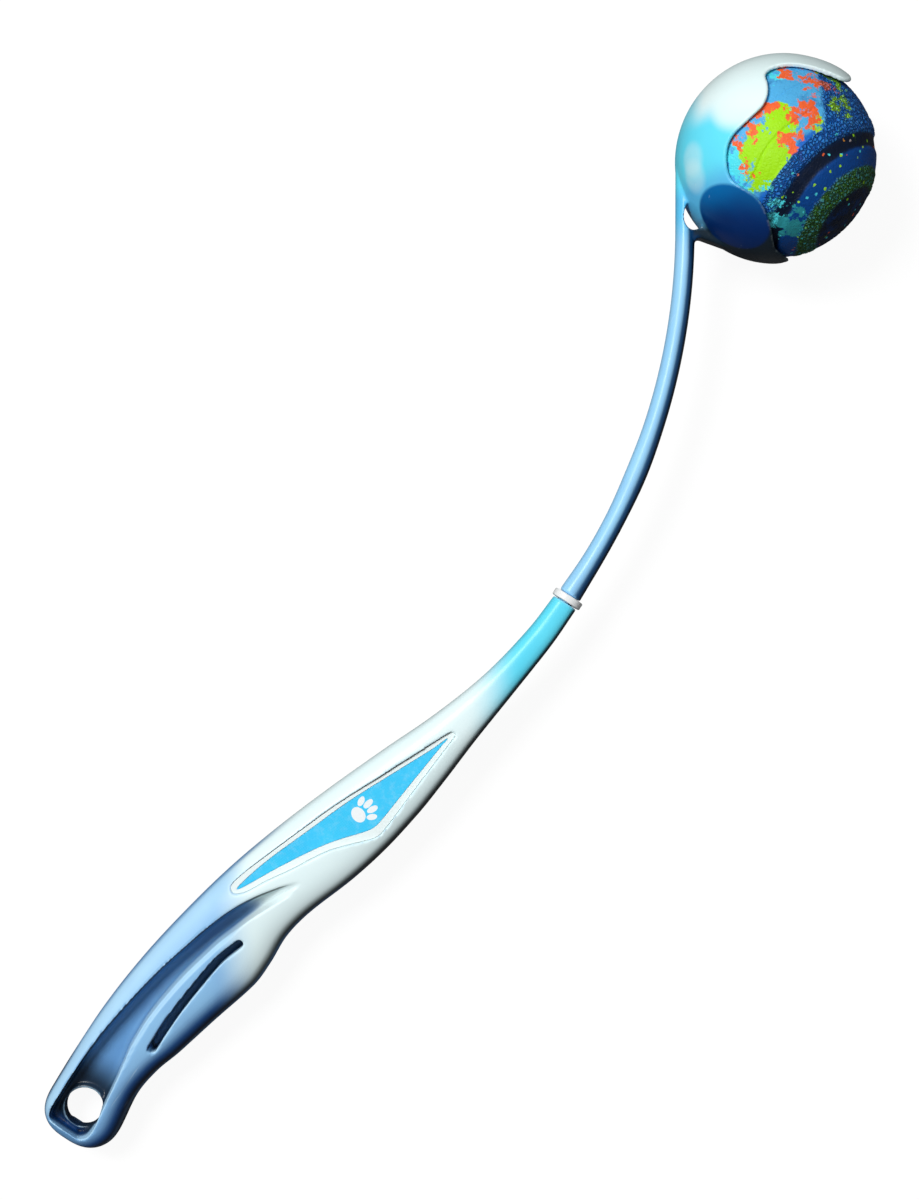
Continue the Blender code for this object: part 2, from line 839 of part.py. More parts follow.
def make_handle(finish):
    """The handle: grip, web, hang hole, label pocket and neck in one moulding."""
    handle = object_from(handle_body(), "handle", finish)
    for face, side_name in ((1, "front"), (-1, "back")):
        boolean(handle, guide_from(trough_cutter(face), f"trough_{side_name}"), "DIFFERENCE")
        boolean(handle, guide_from(slot_cutter(face), f"slot_{side_name}"), "DIFFERENCE")
    boolean(handle, hang_lip(), "UNION")
    boolean(handle, hang_hole(), "DIFFERENCE")
    boolean(handle, pocket_cutter(), "DIFFERENCE")
    boolean(handle, socket_cutter(), "DIFFERENCE")
    return handle


# Ball


def channel_depth(direction):
    """Depth of the wavy channel that runs round the ball."""
    axis = (CUP_UP - OPENING_AXIS).normalized()
    longitude = math.atan2(direction.dot((CUP_UP + OPENING_AXIS).normalized()), direction.z)
    latitude = math.degrees(math.asin(max(-1.0, min(1.0, direction.dot(axis)))))
    turn = BALL_CHANNEL_WAVES * (longitude - math.radians(BALL_CHANNEL_WAVE_START))
    middle = BALL_CHANNEL_LATITUDE + BALL_CHANNEL_WAVE_ANGLE * math.cos(turn)
    inside = BALL_CHANNEL_HALF_ANGLE + BALL_CHANNEL_EDGE_ANGLE / 2 - abs(latitude - middle)
    return BALL_CHANNEL_DEPTH * smooth_step(inside / BALL_CHANNEL_EDGE_ANGLE)


def ball_ring(share, radius, face, channelled):
    """One ring of a shell, from 0 at its pole to 1 at the split."""
    split = BALL_SPLIT_GAP / 2
    widest = math.acos(split / radius)
    ring = []
    for i in range(BALL_SEGMENTS):
        turn = 2 * math.pi * i / BALL_SEGMENTS
        lean = widest * share
        direction = Vector(
            (math.sin(lean) * math.cos(turn), math.sin(lean) * math.sin(turn), face * math.cos(lean))
        )
        reach = radius - (channel_depth(direction) if channelled else 0)
        point = direction * reach
        if share == 1:
            point.z = face * split
        ring.append(point)
    return ring


def make_ball_shell(name, face, finish, carrier):
    """One of the two bonded rubber shells, open at the split."""
    outer = [
        ball_ring(i / BALL_OUTER_RINGS, BALL_RADIUS, face, True) for i in range(1, BALL_OUTER_RINGS + 1)
    ]
    inner = [
        ball_ring(i / BALL_INNER_RINGS, BALL_RADIUS - BALL_WALL, face, False)
        for i in range(BALL_INNER_RINGS, 0, -1)
    ]
    shell = object_from(loft(outer + inner), name, finish)
    shell.parent = carrier
    return shell


def clear_scene():
    """Removes whatever the scene holds."""
    for thing in list(bpy.data.objects):
        bpy.data.objects.remove(thing, do_unlink=True)


def ball_place():
    """Place of the ball's centre, with the thrower centred over the ground and the ball on it."""
    back = neck_x() - NECK_WIDTH / 2 - HANDLE_SWEEP
    top = CUP_OUTER_RADIUS + CUP_FLARE
    lowest = BALL_RADIUS * math.cos(math.pi / 2 / BALL_OUTER_RINGS)
    return Vector((-(back + BALL_RADIUS) / 2, -(handle_y(0) + top) / 2, lowest))


def add_carrier(name, place, parent=None):
    """An empty that places the pieces under it."""
    carrier = bpy.data.objects.new(name, None)
    carrier.location = place
    carrier.parent = parent
    bpy.context.scene.collection.objects.link(carrier)
    return carrier


def main():
    clear_scene()
    handle_plastic = material("handle_plastic", (0.30, 0.66, 0.86), 0.38)
    arm_plastic = material("arm_plastic", (0.22, 0.56, 0.82), 0.36)
    collar_plastic = material("collar_plastic", (0.90, 0.92, 0.93), 0.45)
    label_white = material("label_white", (0.92, 0.95, 0.96), 0.40)
    label_blue = material("label_blue", (0.07, 0.56, 0.90), 0.30, 0.3)
    ball_rubber = material("ball_rubber", (0.10, 0.42, 0.66), 0.55)

    make_handle(handle_plastic)
    make_arm(arm_plastic)
    make_collar(collar_plastic)
    make_label_plate(label_white)
    make_label_film(label_blue)
    thrower = add_carrier("thrower", ball_place())
    for thing in list(bpy.context.scene.objects):
        if thing is not thrower and thing.parent is None:
            thing.parent = thrower
    ball_joint = add_carrier("ball_joint", Vector((0, 0, 0)), thrower)
    make_ball_shell("ball_shell_front", 1, ball_rubber, ball_joint)
    make_ball_shell("ball_shell_back", -1, ball_rubber, ball_joint)


main()
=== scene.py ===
"""Dresses a hand-held dog ball thrower and its rubber ball, laid out as an add-on.

Everything is in metres. The thrower lies on its side: Y runs along the neck
towards the cup, X points to the finger side of the grip, and Z stands square
to the mid-plane. Shapes are worked out around the ball's centre and then set
in place by ball_place().
"""

import json
import math
from bisect import bisect_right

import bmesh
import bpy
import numpy as np
from mathutils import Matrix, Vector, noise

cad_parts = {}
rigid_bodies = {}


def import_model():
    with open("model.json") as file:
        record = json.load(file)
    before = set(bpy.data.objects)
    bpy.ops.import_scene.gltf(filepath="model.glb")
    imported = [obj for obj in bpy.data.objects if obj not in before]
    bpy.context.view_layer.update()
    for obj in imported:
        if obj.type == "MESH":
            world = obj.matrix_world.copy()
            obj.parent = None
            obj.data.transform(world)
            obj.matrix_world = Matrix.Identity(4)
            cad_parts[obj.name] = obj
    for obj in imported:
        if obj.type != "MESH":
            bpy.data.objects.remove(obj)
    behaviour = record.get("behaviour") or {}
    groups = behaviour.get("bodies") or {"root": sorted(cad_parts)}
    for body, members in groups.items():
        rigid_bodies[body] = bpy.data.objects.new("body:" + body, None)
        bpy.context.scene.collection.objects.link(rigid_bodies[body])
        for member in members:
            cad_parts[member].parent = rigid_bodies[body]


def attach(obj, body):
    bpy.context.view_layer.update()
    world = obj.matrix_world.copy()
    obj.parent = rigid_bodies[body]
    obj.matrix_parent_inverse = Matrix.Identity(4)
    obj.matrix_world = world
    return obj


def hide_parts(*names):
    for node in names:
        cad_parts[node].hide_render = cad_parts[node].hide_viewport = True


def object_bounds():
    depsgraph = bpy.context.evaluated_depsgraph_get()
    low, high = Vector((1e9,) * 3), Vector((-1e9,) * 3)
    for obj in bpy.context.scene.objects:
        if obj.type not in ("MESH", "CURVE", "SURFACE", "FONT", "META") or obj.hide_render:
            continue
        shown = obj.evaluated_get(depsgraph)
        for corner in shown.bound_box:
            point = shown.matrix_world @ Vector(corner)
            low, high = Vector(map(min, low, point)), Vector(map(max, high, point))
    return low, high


for thing in list(bpy.data.objects):
    bpy.data.objects.remove(thing, do_unlink=True)
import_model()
CAD_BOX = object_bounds()

bl_info = {
    "name": "Ball Thrower",
    "version": (1, 0, 0),
    "blender": (4, 5, 0),
    "location": "View3D > Sidebar > Thrower",
    "description": "Makes a dog ball thrower with its rubber ball",
    "category": "Object",
}

# Shapes that follow the sizes

# Azimuth about the opening axis from the finger, and angle from that axis, in degrees.
RIM_ANGLES = (
    (0.0, 52.0),
    (24.0, 52.5),
    (38.0, 54.0),
    (45.0, 59.5),
    (44.8, 68.0),
    (43.0, 77.0),
    (41.6, 86.0),
    (41.6, 95.0),
    (44.2, 102.0),
    (49.6, 105.6),
    (57.0, 105.0),
    (65.0, 105.6),
    (72.5, 109.0),
    (80.0, 117.6),
    (88.0, 126.2),
    (97.0, 129.6),
    (109.0, 129.2),
    (117.0, 125.5),
    (123.4, 113.5),
    (130.0, 107.0),
    (140.0, 102.2),
    (150.0, 99.0),
    (161.0, 96.0),
    (170.0, 90.0),
    (180.0, 85.0),
)
# Share of the way from the collar to the cup, and share of the shaft's width.
SHAFT_WIDTH_SHARES = (
    (0.00, 1.15),
    (0.09, 1.02),
    (0.20, 1.00),
    (0.30, 1.07),
    (0.42, 1.00),
    (0.75, 0.95),
    (1.00, 0.92),
)
# Share of the handle's length from its end, and share of the sweep of its back.
SPINE_SHARES = (
    (0.000, 0.985),
    (0.100, 1.000),
    (0.185, 0.996),
    (0.269, 0.959),
    (0.353, 0.892),
    (0.437, 0.803),
    (0.521, 0.684),
    (0.605, 0.543),
    (0.689, 0.388),
    (0.773, 0.226),
    (0.857, 0.098),
    (0.942, 0.022),
    (1.000, 0.000),
)
# Share of the handle's length, and share of the width that the grip has over the neck.
WIDTH_SHARES = (
    (0.000, 0.650),
    (0.042, 0.702),
    (0.105, 0.655),
    (0.148, 0.712),
    (0.185, 0.812),
    (0.244, 0.910),
    (0.319, 1.000),
    (0.357, 0.955),
    (0.400, 0.855),
    (0.440, 0.830),
    (0.516, 0.858),
    (0.576, 0.810),
    (0.642, 0.680),
    (0.697, 0.525),
    (0.773, 0.285),
    (0.857, 0.108),
    (0.942, 0.030),
    (1.000, 0.000),
)
# Share of the handle's length, and share of the depth that the grip has over the neck.
DEPTH_SHARES = (
    (0.000, 0.820),
    (0.113, 0.940),
    (0.294, 1.000),
    (0.455, 0.960),
    (0.597, 0.760),
    (0.748, 0.440),
    (0.879, 0.130),
    (1.000, 0.000),
)
# Share of the handle's length, then the shares of its width where the trough starts and ends.
TROUGH_SHARES = (
    (0.016, 0.170, 0.650),
    (0.024, 0.122, 0.720),
    (0.060, 0.120, 0.716),
    (0.105, 0.138, 0.695),
    (0.139, 0.148, 0.620),
    (0.168, 0.158, 0.538),
    (0.205, 0.174, 0.475),
    (0.253, 0.194, 0.444),
    (0.301, 0.216, 0.433),
    (0.345, 0.250, 0.456),
    (0.377, 0.294, 0.515),
    (0.413, 0.369, 0.595),
    (0.440, 0.441, 0.650),
    (0.468, 0.530, 0.700),
    (0.490, 0.615, 0.715),
)
TROUGH_RAMP_START_SHARE = 0.375
TROUGH_CORNER_SHARE = 0.2
# Shares of the handle's length and width along the middle of the slot.
SLOT_SHARES = (
    (0.178, 0.733),
    (0.205, 0.683),
    (0.237, 0.641),
    (0.281, 0.598),
    (0.320, 0.570),
    (0.340, 0.582),
    (0.364, 0.628),
)
# Shares of the handle's length and width around the pocket, from its lower tip.
LABEL_SHARES = (
    (0.417, 0.240),
    (0.424, 0.156),
    (0.447, 0.147),
    (0.487, 0.164),
    (0.524, 0.177),
    (0.581, 0.197),
    (0.620, 0.226),
    (0.660, 0.275),
    (0.699, 0.334),
    (0.737, 0.407),
    (0.764, 0.488),
    (0.764, 0.598),
    (0.744, 0.643),
    (0.665, 0.740),
    (0.605, 0.812),
    (0.586, 0.806),
    (0.538, 0.565),
    (0.486, 0.457),
    (0.457, 0.385),
    (0.428, 0.321),
)
# The same around the film.
FILM_SHARES = (
    (0.425, 0.241),
    (0.447, 0.216),
    (0.486, 0.215),
    (0.542, 0.241),
    (0.607, 0.271),
    (0.678, 0.372),
    (0.730, 0.487),
    (0.754, 0.536),
    (0.741, 0.556),
    (0.666, 0.646),
    (0.606, 0.709),
    (0.591, 0.692),
    (0.543, 0.488),
    (0.484, 0.357),
)
LABEL_FLAT_SHARE = 0.88
HANG_HOLE_WIDTH_SHARE = 0.475
HANDLE_SQUARENESS = 2.7
SHAFT_SQUARENESS = 2.3
OVERRUN = 0.004
MOST_TRIANGLES = 190000

# Latitude, in degrees, of the wavy channel about the axis between the cup's up and its base.
CHANNEL_LATITUDE = -29.2
CHANNEL_WAVE_ANGLE = 9.1
CHANNEL_WAVE_START = -4.0
CHANNEL_WAVES = 2
CHANNEL_REACH = 6.8
CHANNEL_EDGE_ANGLE = 4.5
PEBBLE_SEED = 1
# Start, end and eased edge of each band, in degrees above the channel.
BLUE_BAND_RISE = (4, 15, 2)
BLUE_BAND_PEBBLES = (3, 15, 3)
GREEN_BAND = (-31, -16, 3)
GROOVE_HEIGHTS = (27, 45)
GROOVE_HALF_WIDTH = 1.1
GROOVE_WOBBLE = 3
# Angle from the ball's two poles at which its skin is cut flat.
FLAT_TURN = math.pi / 32
BALL_CUTS = 127
SIDEWAYS = Vector((1, 0, 0))

# Columns round each lofted form, and rings along it.
CUP_COLUMNS = 160
CUP_RINGS = 44
RIM_RINGS = 8
SHAFT_COLUMNS = 48
SHAFT_RINGS = 140
HANDLE_COLUMNS = 80
HANDLE_END_RINGS = 14
HANDLE_RINGS = 150
HANDLE_FIRST_TURN = math.pi / 14
TROUGH_RINGS = 110
SLOT_STEPS = 5
SOCKET_COLUMNS = 40
COLLAR_COLUMNS = 96
HOLE_SEGMENTS = 72
CAP_STEPS = 8
RIM_STEPS = 24

# Share of the way from one end of the channel's axis to the other, and colour. The navy at the start
# darkens the ball's side away from the light: partly the rubber's colour, partly painted shade.
BALL_TONES = (
    (0.00, "navy"),
    (0.15, "navy"),
    (0.18, "green"),
    (0.30, "green"),
    (0.325, "deep_blue"),
    (0.43, "deep_blue"),
    (0.46, "navy"),
    (0.52, "navy"),
    (0.545, "blue"),
    (0.66, "blue"),
    (0.70, "sky"),
    (0.90, "sky"),
)
SPECK_TONES = ((0.0, "cyan"), (0.5, "cyan"), (0.54, "orange"), (0.72, "orange"), (0.76, "lime"))
# Share of the way from the tang to the tip of the finger, and colour.
ARM_TONES = (
    (0.0, "shaft"),
    (0.24, "shaft"),
    (0.42, "cup_blue"),
    (0.47, "cup_blue"),
    (0.56, "cup_cyan"),
    (0.68, "cup_cyan"),
    (0.80, "cup_pale"),
    (1.0, "cup_pale"),
)
# Share of the way up the dark lobe at the side of the cup, and colour. The lobe is partly the plastic's
# own blue and partly painted shade, darkening to painted shade at its foot.
LOBE_TONES = (
    (0.0, "painted_shade"),
    (0.12, "lobe_deep"),
    (0.42, "lobe_deep"),
    (0.90, "cup_lobe"),
    (1.0, "cup_lobe"),
)
# Painted highlights on both halves of the cup, pale streaks by the shaft's root and pale bands by the
# rim: place across, up and out as shares of the radius, cosines where the mark starts and is full,
# strength, and colour.
CUP_PAINTED_HIGHLIGHTS = (
    (-0.90, -0.10, 0.43, 0.980, 0.997, 0.3, "cup_pale"),
    (-0.88, -0.26, 0.41, 0.980, 0.997, 0.3, "cup_pale"),
    (-0.33, 0.54, 0.77, 0.940, 0.985, 0.8, "cup_pale"),
    (-0.50, 0.36, 0.79, 0.940, 0.985, 0.8, "cup_pale"),
)
# Place along the handle's slanting colour run, and colour.
HANDLE_TONES = (
    (-0.430, "grip_deep"),
    (-0.380, "grip"),
    (-0.338, "grip"),
    (-0.312, "middle"),
    (-0.194, "middle"),
    (-0.160, "neck"),
    (-0.140, "neck"),
)
# Painted shade on the trough's floors: distances below the ball where a tone starts and is full, its
# strength, and colour.
TROUGH_PAINTED_SHADES = (
    (0.265, 0.290, 0.85, "grip_deep"),
    (0.265, 0.290, 0.25, "grip_painted_shade"),
    (0.366, 0.378, 0.92, "painted_shade"),
    (0.391, 0.395, 0.75, "grip_painted_shade"),
)
PLASTIC_ROUGHNESS = 0.34
PLASTIC_SHADER = {"IOR": 1.49, "Specular IOR Level": 0.25, "Coat Weight": 0.06, "Coat Roughness": 0.22}
RUBBER_SHADER = {"IOR": 1.45, "Specular IOR Level": 0.3}
FLOOR_SHADER = {"Roughness": 0.9, "Specular IOR Level": 0.0}
FILM_COAT = 0.5
SEAM_HALF_WIDTH = 0.00035
SCRATCH_TURN = math.radians(24)
SCRATCH_SCALE = (900.0, 45.0, 260.0)
# How far the patches' edges are pushed about, as a share of the ball's radius.
PATCH_RAGGEDNESS = 0.115
# Lamps: place across, up and out from the middle of the view.
KEY_PLACE = (-0.40, 0.32, 0.84)
KEY_SIZE = 0.34
FILL_PLACE = (0.55, 0.10, 0.75)
FILL_SIZE = 0.8

# Patches of rubber: place across and up as shares of the ball's radius, side of
# the mid-plane, size in degrees, and colour of the palette.
RUBBER_PATCHES = (
    (-0.16, 0.41, 1, 8.5, "sky"),
    (-0.04, 0.49, 1, 8.0, "sky"),
    (0.07, 0.51, 1, 7.0, "sky"),
    (-0.18, 0.53, 1, 6.0, "sky"),
    (0.15, 0.56, 1, 5.0, "sky"),
    (-0.16, 0.68, 1, 6.0, "cyan"),
    (-0.57, -0.17, 1, 8.0, "cyan"),
    (-0.54, -0.30, 1, 8.0, "cyan"),
    (-0.47, -0.42, 1, 6.0, "cyan"),
    (-0.17, 0.14, 1, 10.5, "lime"),
    (-0.30, -0.06, 1, 12.0, "lime"),
    (-0.23, -0.24, 1, 12.5, "lime"),
    (-0.32, -0.36, 1, 9.5, "lime"),
    (-0.09, -0.22, 1, 7.0, "lime"),
    (-0.09, 0.12, 1, 7.5, "lime"),
    (-0.38, -0.16, 1, 8.5, "lime"),
    (0.20, 0.14, 1, 3.6, "lime"),
    (0.00, 0.70, 1, 5.0, "orange"),
    (0.09, 0.68, 1, 5.5, "orange"),
    (0.20, 0.67, 1, 5.0, "orange"),
    (0.35, 0.60, 1, 3.4, "orange"),
    (0.23, 0.40, 1, 4.4, "orange"),
    (0.14, 0.32, 1, 5.4, "orange"),
    (0.04, 0.20, 1, 5.0, "orange"),
    (0.13, 0.17, 1, 3.6, "orange"),
    (-0.02, -0.05, 1, 3.4, "orange"),
    (0.01, -0.13, 1, 3.0, "orange"),
    (-0.29, 0.29, 1, 3.4, "orange"),
    (-0.36, 0.19, 1, 3.4, "orange"),
    (-0.46, 0.08, 1, 3.6, "orange"),
    (-0.55, 0.01, 1, 3.6, "orange"),
    (-0.45, -0.33, 1, 2.0, "orange"),
    (0.39, 0.70, 1, 4.6, "lime"),
    (0.48, 0.65, 1, 3.0, "lime"),
    (0.41, 0.32, 1, 5.0, "lime"),
    (0.54, 0.29, 1, 5.6, "lime"),
    (0.57, 0.20, 1, 3.8, "lime"),
    (0.65, 0.13, 1, 2.4, "lime"),
    (0.10, 0.30, -1, 20.0, "lime"),
    (0.55, 0.45, -1, 14.0, "orange"),
    (-0.20, 0.62, -1, 16.0, "cyan"),
    (-0.35, 0.05, -1, 13.0, "orange"),
    (0.20, 0.80, -1, 11.0, "sky"),
)
# Patches that also cover the channel and the raised bands.
LATE_PATCHES = (
    (-0.19, -0.66, 1, 5.5, "cyan"),
    (-0.12, -0.76, 1, 4.5, "cyan"),
    (-0.26, -0.58, 1, 3.6, "cyan"),
    (0.02, -0.81, 1, 7.0, "teal"),
    (0.06, -0.75, 1, 4.5, "teal"),
    (0.15, -0.62, -1, 14.0, "teal"),
    (0.70, -0.10, -1, 12.0, "lime"),
)
# Pads of the printed paw: place along and across the label, half length, half width,
# and turn in degrees.
PAW_PADS = (
    (0.0000, 0.0000, 0.0021, 0.0027, 0.0),
    (0.0033, 0.0030, 0.0017, 0.0010, 28.0),
    (0.0047, 0.0010, 0.0019, 0.0010, 8.0),
    (0.0047, -0.0013, 0.0019, 0.0010, -8.0),
    (0.0031, -0.0032, 0.0017, 0.0010, -28.0),
)
PAW_LENGTH_SHARE = 0.600
PAW_WIDTH_SHARE = 0.470


def srgb(red, green, blue):
    """Turns screen values from 0 to 255 into the linear values that shaders use."""
    shares = (red / 255, green / 255, blue / 255)
    return tuple(v / 12.92 if v <= 0.04045 else ((v + 0.055) / 1.055) ** 2.4 for v in shares)


def length(name, description, default):
    """A size that can be set in the panel."""
    return bpy.props.FloatProperty(
        name=name,
        description=description,
        default=default,
        min=0.0,
        precision=5,
        subtype="DISTANCE",
        unit="LENGTH",
    )


def degrees(name, description, default):
    """An angle that can be set in the panel."""
    return bpy.props.FloatProperty(
        name=name,
        description=description,
        default=math.radians(default),
        subtype="ANGLE",
        unit="ROTATION",
    )


def number(name, description, default):
    """A plain factor that can be set in the panel."""
    return bpy.props.FloatProperty(
        name=name,
        description=description,
        default=default,
        subtype="FACTOR",
    )


def colour(name, description, default):
    """A colour that can be set in the panel."""
    return bpy.props.FloatVectorProperty(
        name=name,
        description=description,
        default=default,
        min=0.0,
        max=1.0,
        subtype="COLOR",
    )


class ThrowerSizes(bpy.types.PropertyGroup):
    """Sizes of the thrower and its ball"""

    ball_diameter: length("Ball diameter", "Across the rubber ball", 0.0642)
    channel_depth: length("Channel depth", "Depth of the wavy channel round the ball", 0.0009)
    field_depth: length("Field depth", "How far the plain rubber lies below the raised bands", 0.00035)
    pebble_size: length("Pebble size", "Distance between the pebbles of the rubber", 0.0015)
    pebble_height: length("Pebble height", "Height of the pebbles", 0.00026)
    groove_depth: length("Groove depth", "Depth of the thin grooves in the ball", 0.00045)
    cup_clearance: length("Cup clearance", "Gap between the ball and the cup", 0.0003)
    cup_wall: length("Cup wall", "Thickness of the cup", 0.0014)
    cup_flare: length("Cup flare", "How far the finger of the cup opens out", 0.0007)
    cup_flare_start: degrees("Flare start", "Angle from the opening where the flare starts", 80.0)
    opening_tilt: degrees("Opening tilt", "Turn of the cup against the neck", 33.0)
    gusset_depth: length("Gusset depth", "Thickness of the web under the cup", 0.0070)
    gusset_drop: length("Gusset drop", "How far the web reaches below the cup's middle", 0.0258)
    gusset_touch: degrees("Gusset touch", "Where the web meets the cup", 63.0)
    gusset_fillet: length("Gusset fillet", "Rounding where web and shaft meet", 0.0014)
    gusset_round: length("Gusset round", "Rounding of the web's long edges", 0.0012)
    relief_length: length("Relief length", "Length of the teardrop hole", 0.0114)
    relief_width: length("Relief width", "Width of the teardrop hole", 0.0064)
    relief_drop: length("Relief drop", "How far the hole lies below the cup's middle", 0.0180)
    relief_back_strip: length("Back strip", "Plastic left behind the hole", 0.0024)
    shaft_width: length("Shaft width", "Width of the shaft", 0.0067)
    shaft_depth: length("Shaft depth", "Depth of the shaft", 0.0086)
    shaft_bend_radius: length("Shaft bend", "Radius of the shaft's curve", 0.210)
    shaft_bend_start: length("Bend start", "Straight stretch of the shaft along the cup", 0.023)
    shaft_straight: length("Shaft straight", "Straight stretch above the collar", 0.0075)
    tang_length: length("Tang length", "How far the arm plugs into the neck", 0.026)
    tang_width: length("Tang width", "Width of the arm's tang", 0.0050)
    tang_depth: length("Tang depth", "Depth of the arm's tang", 0.0064)
    joint_clearance: length("Joint clearance", "Gap between plugged pieces", 0.0003)
    collar_length: length("Collar length", "Length of the ring at the joint", 0.0024)
    collar_proud: length("Collar proud", "How far the ring stands out", 0.0009)
    collar_bevel: length("Collar bevel", "Bevel of the ring's edges", 0.0004)
    handle_length: length("Handle length", "Length of the handle along the neck", 0.237)
    handle_sweep: length("Handle sweep", "How far the back of the grip swings out", 0.051)
    grip_width: length("Grip width", "Widest part of the grip", 0.034)
    grip_depth: length("Grip depth", "Deepest part of the grip", 0.022)
    neck_width: length("Neck width", "Width of the neck at the collar", 0.0086)
    neck_depth: length("Neck depth", "Depth of the neck at the collar", 0.0104)
    end_round: length("End rounding", "Rounding of the handle's free end", 0.012)
    web_thickness: length("Web thickness", "Plastic left between the two troughs", 0.003)
    trough_draft: length("Trough draft", "How much the trough's walls lean", 0.0012)
    trough_round: length("Trough rounding", "Rounding at the trough's floor", 0.0016)
    ledge_width: length("Ledge width", "Width of the thin step along the trough", 0.0013)
    ledge_depth: length("Ledge depth", "Depth of the thin step along the trough", 0.0006)
    slot_width: length("Slot width", "Width of the slot beside the trough", 0.0027)
    hang_hole: length("Hang hole", "Diameter of the hang hole", 0.0126)
    hang_lip_width: length("Lip width", "Width of the hang hole's lip", 0.0012)
    hang_lip_height: length("Lip height", "Height of the hang hole's lip", 0.0010)
    hang_hole_distance: length("Hole distance", "From the handle's end to the hang hole", 0.0118)
    label_recess: length("Label recess", "Depth of the label's pocket", 0.0016)
    plate_thickness: length("Plate thickness", "Thickness of the label plate", 0.0011)
    film_thickness: length("Film thickness", "Thickness of the label film", 0.0004)
    label_fit: length("Label fit", "Gap round the label plate and the film", 0.0001)
    label_bevel: length("Label bevel", "Bevel of the label's edges", 0.00018)
    mould_grain: length("Mould grain", "Size of the plastic's fine texture", 0.0006)
    moulding_fineness: length("Moulding fineness", "Size of the facets of a moulded piece", 0.00042)


class ThrowerColours(bpy.types.PropertyGroup):
    """Colours of the plastic, the label and the rubber"""

    grip: colour("Grip", "Plastic of the grip", srgb(140, 190, 234))
    grip_deep: colour("Deep grip", "Plastic towards the free end", srgb(108, 162, 214))
    # The next colour is painted shade on the finger side of the grip and on the trough's floors
    grip_painted_shade: colour("Grip shade", "Deep blue on the finger side of the grip", srgb(0, 62, 128))
    # The next colour is a painted highlight along the back of the grip and its edges
    grip_painted_highlight: colour("Grip light", "Pale blue along the back of the grip", srgb(184, 226, 254))
    middle: colour("Middle", "Palest plastic, around the label", srgb(230, 250, 252))
    neck: colour("Neck", "Plastic of the neck", srgb(96, 222, 250))
    shaft: colour("Shaft", "Plastic of the shaft", srgb(152, 210, 250))
    # The next colour is painted shade on the finger side of the shaft
    shaft_painted_shade: colour("Shaft shade", "Deep blue on the right of the shaft", srgb(4, 60, 108))
    cup_pale: colour("Pale cup", "Plastic at the top of the cup", srgb(232, 252, 252))
    cup_cyan: colour("Cyan cup", "Plastic at the back of the cup", srgb(100, 226, 252))
    cup_blue: colour("Blue cup", "Plastic between the cyan and the dark lobe", srgb(92, 192, 240))
    # The next two colours make the cup's dark lobe: partly the plastic's blue, partly painted shade,
    # darker downwards
    cup_lobe: colour("Cup lobe", "Top of the darker plastic at the side of the cup", srgb(2, 104, 172))
    lobe_deep: colour("Deep lobe", "Lower part of the darker plastic", srgb(0, 44, 108))
    # The next colour is painted shade, laid on the finger side, in corners, at the trough's end, under
    # the cup and at the finger's tip
    painted_shade: colour("Shade tone", "Darkest plastic, on the finger side", srgb(1, 5, 16))
    dust: colour("Dust", "Dust in the corners of the plastic", (0.30, 0.29, 0.26))
    collar: colour("Collar", "Ring at the joint", srgb(238, 240, 240))
    collar_grain: colour("Collar grain", "Grey in the ring's grain", (0.55, 0.57, 0.60))
    label_border: colour("Label border", "Border of the label plate", srgb(234, 246, 246))
    label_field: colour("Label field", "Field of the label", srgb(60, 204, 255))
    label_mark: colour("Label mark", "Printed paw on the label", srgb(244, 250, 252))
    lime: colour("Lime rubber", "Lime patches of the ball", srgb(164, 232, 0))
    orange: colour("Orange rubber", "Orange patches of the ball", srgb(248, 104, 52))
    cyan: colour("Cyan rubber", "Cyan patches of the ball", srgb(84, 228, 240))
    sky: colour("Sky rubber", "Light blue patches of the ball", srgb(84, 180, 234))
    teal: colour("Teal rubber", "Teal patches of the ball", srgb(44, 150, 160))
    blue: colour("Blue rubber", "Raised band of the ball", srgb(20, 104, 200))
    deep_blue: colour("Deep blue rubber", "Rubber below the channel", srgb(0, 70, 148))
    navy: colour("Navy rubber", "Channel of the ball", srgb(0, 18, 44))
    green: colour("Green rubber", "Dark green band of the ball", srgb(62, 122, 10))


class ThrowerStage(bpy.types.PropertyGroup):
    """Camera, lamps and floor"""

    camera_height: length("Camera height", "From the mid-plane up to the camera", 0.600)
    camera_aside: length("Camera aside", "From the ball to the middle of the view, across", 0.10512)
    camera_below: length("Camera below", "From the ball to the middle of the view, down", 0.14528)
    camera_lens: number("Camera lens", "Focal length for a 36 mm sensor", 54.54)
    floor_tilt: degrees("Floor tilt", "Lean of the floor under the ball and the grip", 3.1)
    floor_size: length("Floor size", "Half of the floor's side", 3.0)
    key_power: number("Key power", "Power of the large lamp", 9.2)
    fill_power: number("Fill power", "Power of the small lamp", 0.6)
    sky_strength: number("Sky strength", "Light from all round", 0.18)
    floor: colour("Floor", "Floor and backdrop", (0.11, 0.11, 0.11))
    floor_glow: number("Floor glow", "White of the floor that only the camera sees", 0.93)


def sizes():
    """The sizes that the panel holds."""
    return bpy.context.scene.thrower_sizes


def colours():
    """The colours that the panel holds."""
    return bpy.context.scene.thrower_colours


# Curves through tables, and the thrower's own axes


def smooth_step(value):
    """Eases a value from 0 to 1 with level ends."""
    value = min(max(value, 0.0), 1.0)
    return value * value * (3 - 2 * value)


